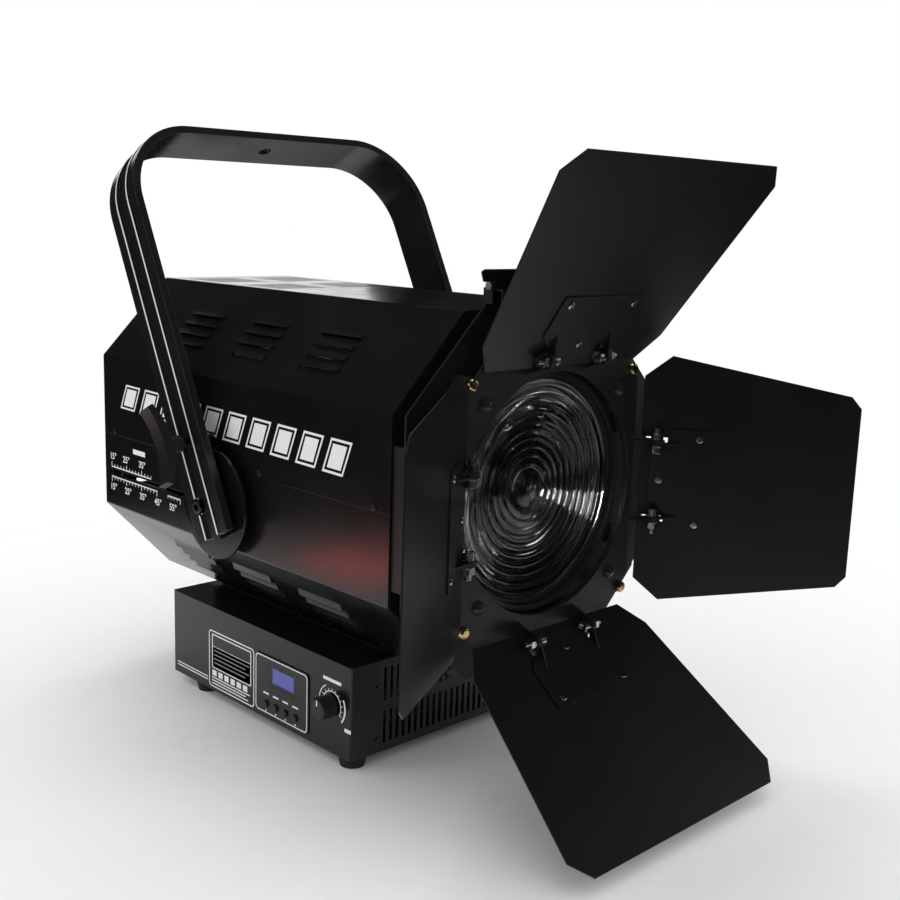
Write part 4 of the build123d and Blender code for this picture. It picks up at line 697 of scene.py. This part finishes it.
SKY_FILL, SKY_IN_GLOSS = 0.95, 0.014         # the surround's strength for soft light and in reflections
world = bpy.data.worlds.new("surround")
bpy.context.scene.world = world
world.use_nodes = True
t = world.node_tree
back = t.nodes["Background"]
rays = node(t, "ShaderNodeLightPath", -600)
diffuse = node(t, "ShaderNodeMath", -400, operation="MULTIPLY")
t.links.new(rays.outputs["Is Diffuse Ray"], diffuse.inputs[0])
diffuse.inputs[1].default_value = SKY_FILL
seen = node(t, "ShaderNodeMath", -200, operation="MAXIMUM")
t.links.new(rays.outputs["Is Camera Ray"], seen.inputs[0])
t.links.new(diffuse.outputs["Value"], seen.inputs[1])
least = node(t, "ShaderNodeMath", 0, operation="MAXIMUM")
t.links.new(seen.outputs["Value"], least.inputs[0])
least.inputs[1].default_value = SKY_IN_GLOSS
t.links.new(least.outputs["Value"], back.inputs["Strength"])
back.inputs["Color"].default_value = (1, 1, 1, 1)


def soft_light(name, place, target, size, power, colour=(1, 1, 1)):
    """A rectangular lamp that faces its target and isn't seen itself."""
    lamp = bpy.data.lights.new(name, "AREA")
    lamp.shape = "RECTANGLE"
    lamp.size, lamp.size_y = size
    lamp.energy = power
    lamp.color = colour
    holder = bpy.data.objects.new(name, lamp)
    bpy.context.scene.collection.objects.link(holder)
    holder.location = place
    holder.rotation_euler = (Vector(target) - Vector(place)).to_track_quat("-Z", "Y").to_euler()
    holder.visible_camera = False
    return holder


soft_light("overhead", (0.2, 0.3, 2.2), (0, 0, 0.2), (1.0, 1.0), 9)
soft_light("behind", (1.0, 2.4, 0.95), (0, 0, 0.45), (1.7, 0.9), 7)
soft_light("left_side", (-1.9, 0.9, 0.7), (-0.18, 0.05, 0.35), (0.12, 1.0), 3)
soft_light("right_front", (1.7, -1.2, 0.6), (0, -0.2, 0.25), (0.3, 0.8), 2)
lens_only = bpy.data.collections.new("lens_only")
lens_only.objects.link(lens_glass)
no_shadow = bpy.data.collections.new("no_shadow")
for name, place, size, power in (("front_left", (-0.50, -1.5, 0.42), (0.35, 0.45), 34),
                                 ("lens_kicker", (0.98, -0.17, -0.42), (0.6, 0.5), 40)):
    glint = soft_light(name, place, (0, -0.225, 0.253), size, power)
    glint.light_linking.receiver_collection = lens_only
    glint.light_linking.blocker_collection = no_shadow
soft_light("warm_card", (-0.56, 0.30, 0.002), (-0.56, 0.29, 1.0), (0.12, 0.16), 0.20, (1.0, 0.045, 0.02))

cam_data = bpy.data.cameras.new("camera")
cam_data.sensor_width = 36
cam_data.lens = 48.62
camera = bpy.data.objects.new("camera", cam_data)
bpy.context.scene.collection.objects.link(camera)
yaw, pitch, roll = math.radians(44.33), math.radians(10.95), math.radians(1.88)
forward = Vector((math.sin(yaw) * math.cos(pitch), math.cos(yaw) * math.cos(pitch), -math.sin(pitch)))
right = Vector((math.cos(yaw), -math.sin(yaw), 0))
up = right.cross(forward)
r = right * math.cos(roll) + up * math.sin(roll)
u = up * math.cos(roll) - right * math.sin(roll)
camera.matrix_world = Matrix((r, u, -forward)).transposed().to_4x4()
camera.location = (-0.75875, -0.9032, 0.4810)
bpy.context.scene.camera = camera
bpy.context.scene.view_settings.view_transform = "Standard"
bpy.context.scene.view_settings.look = "None"
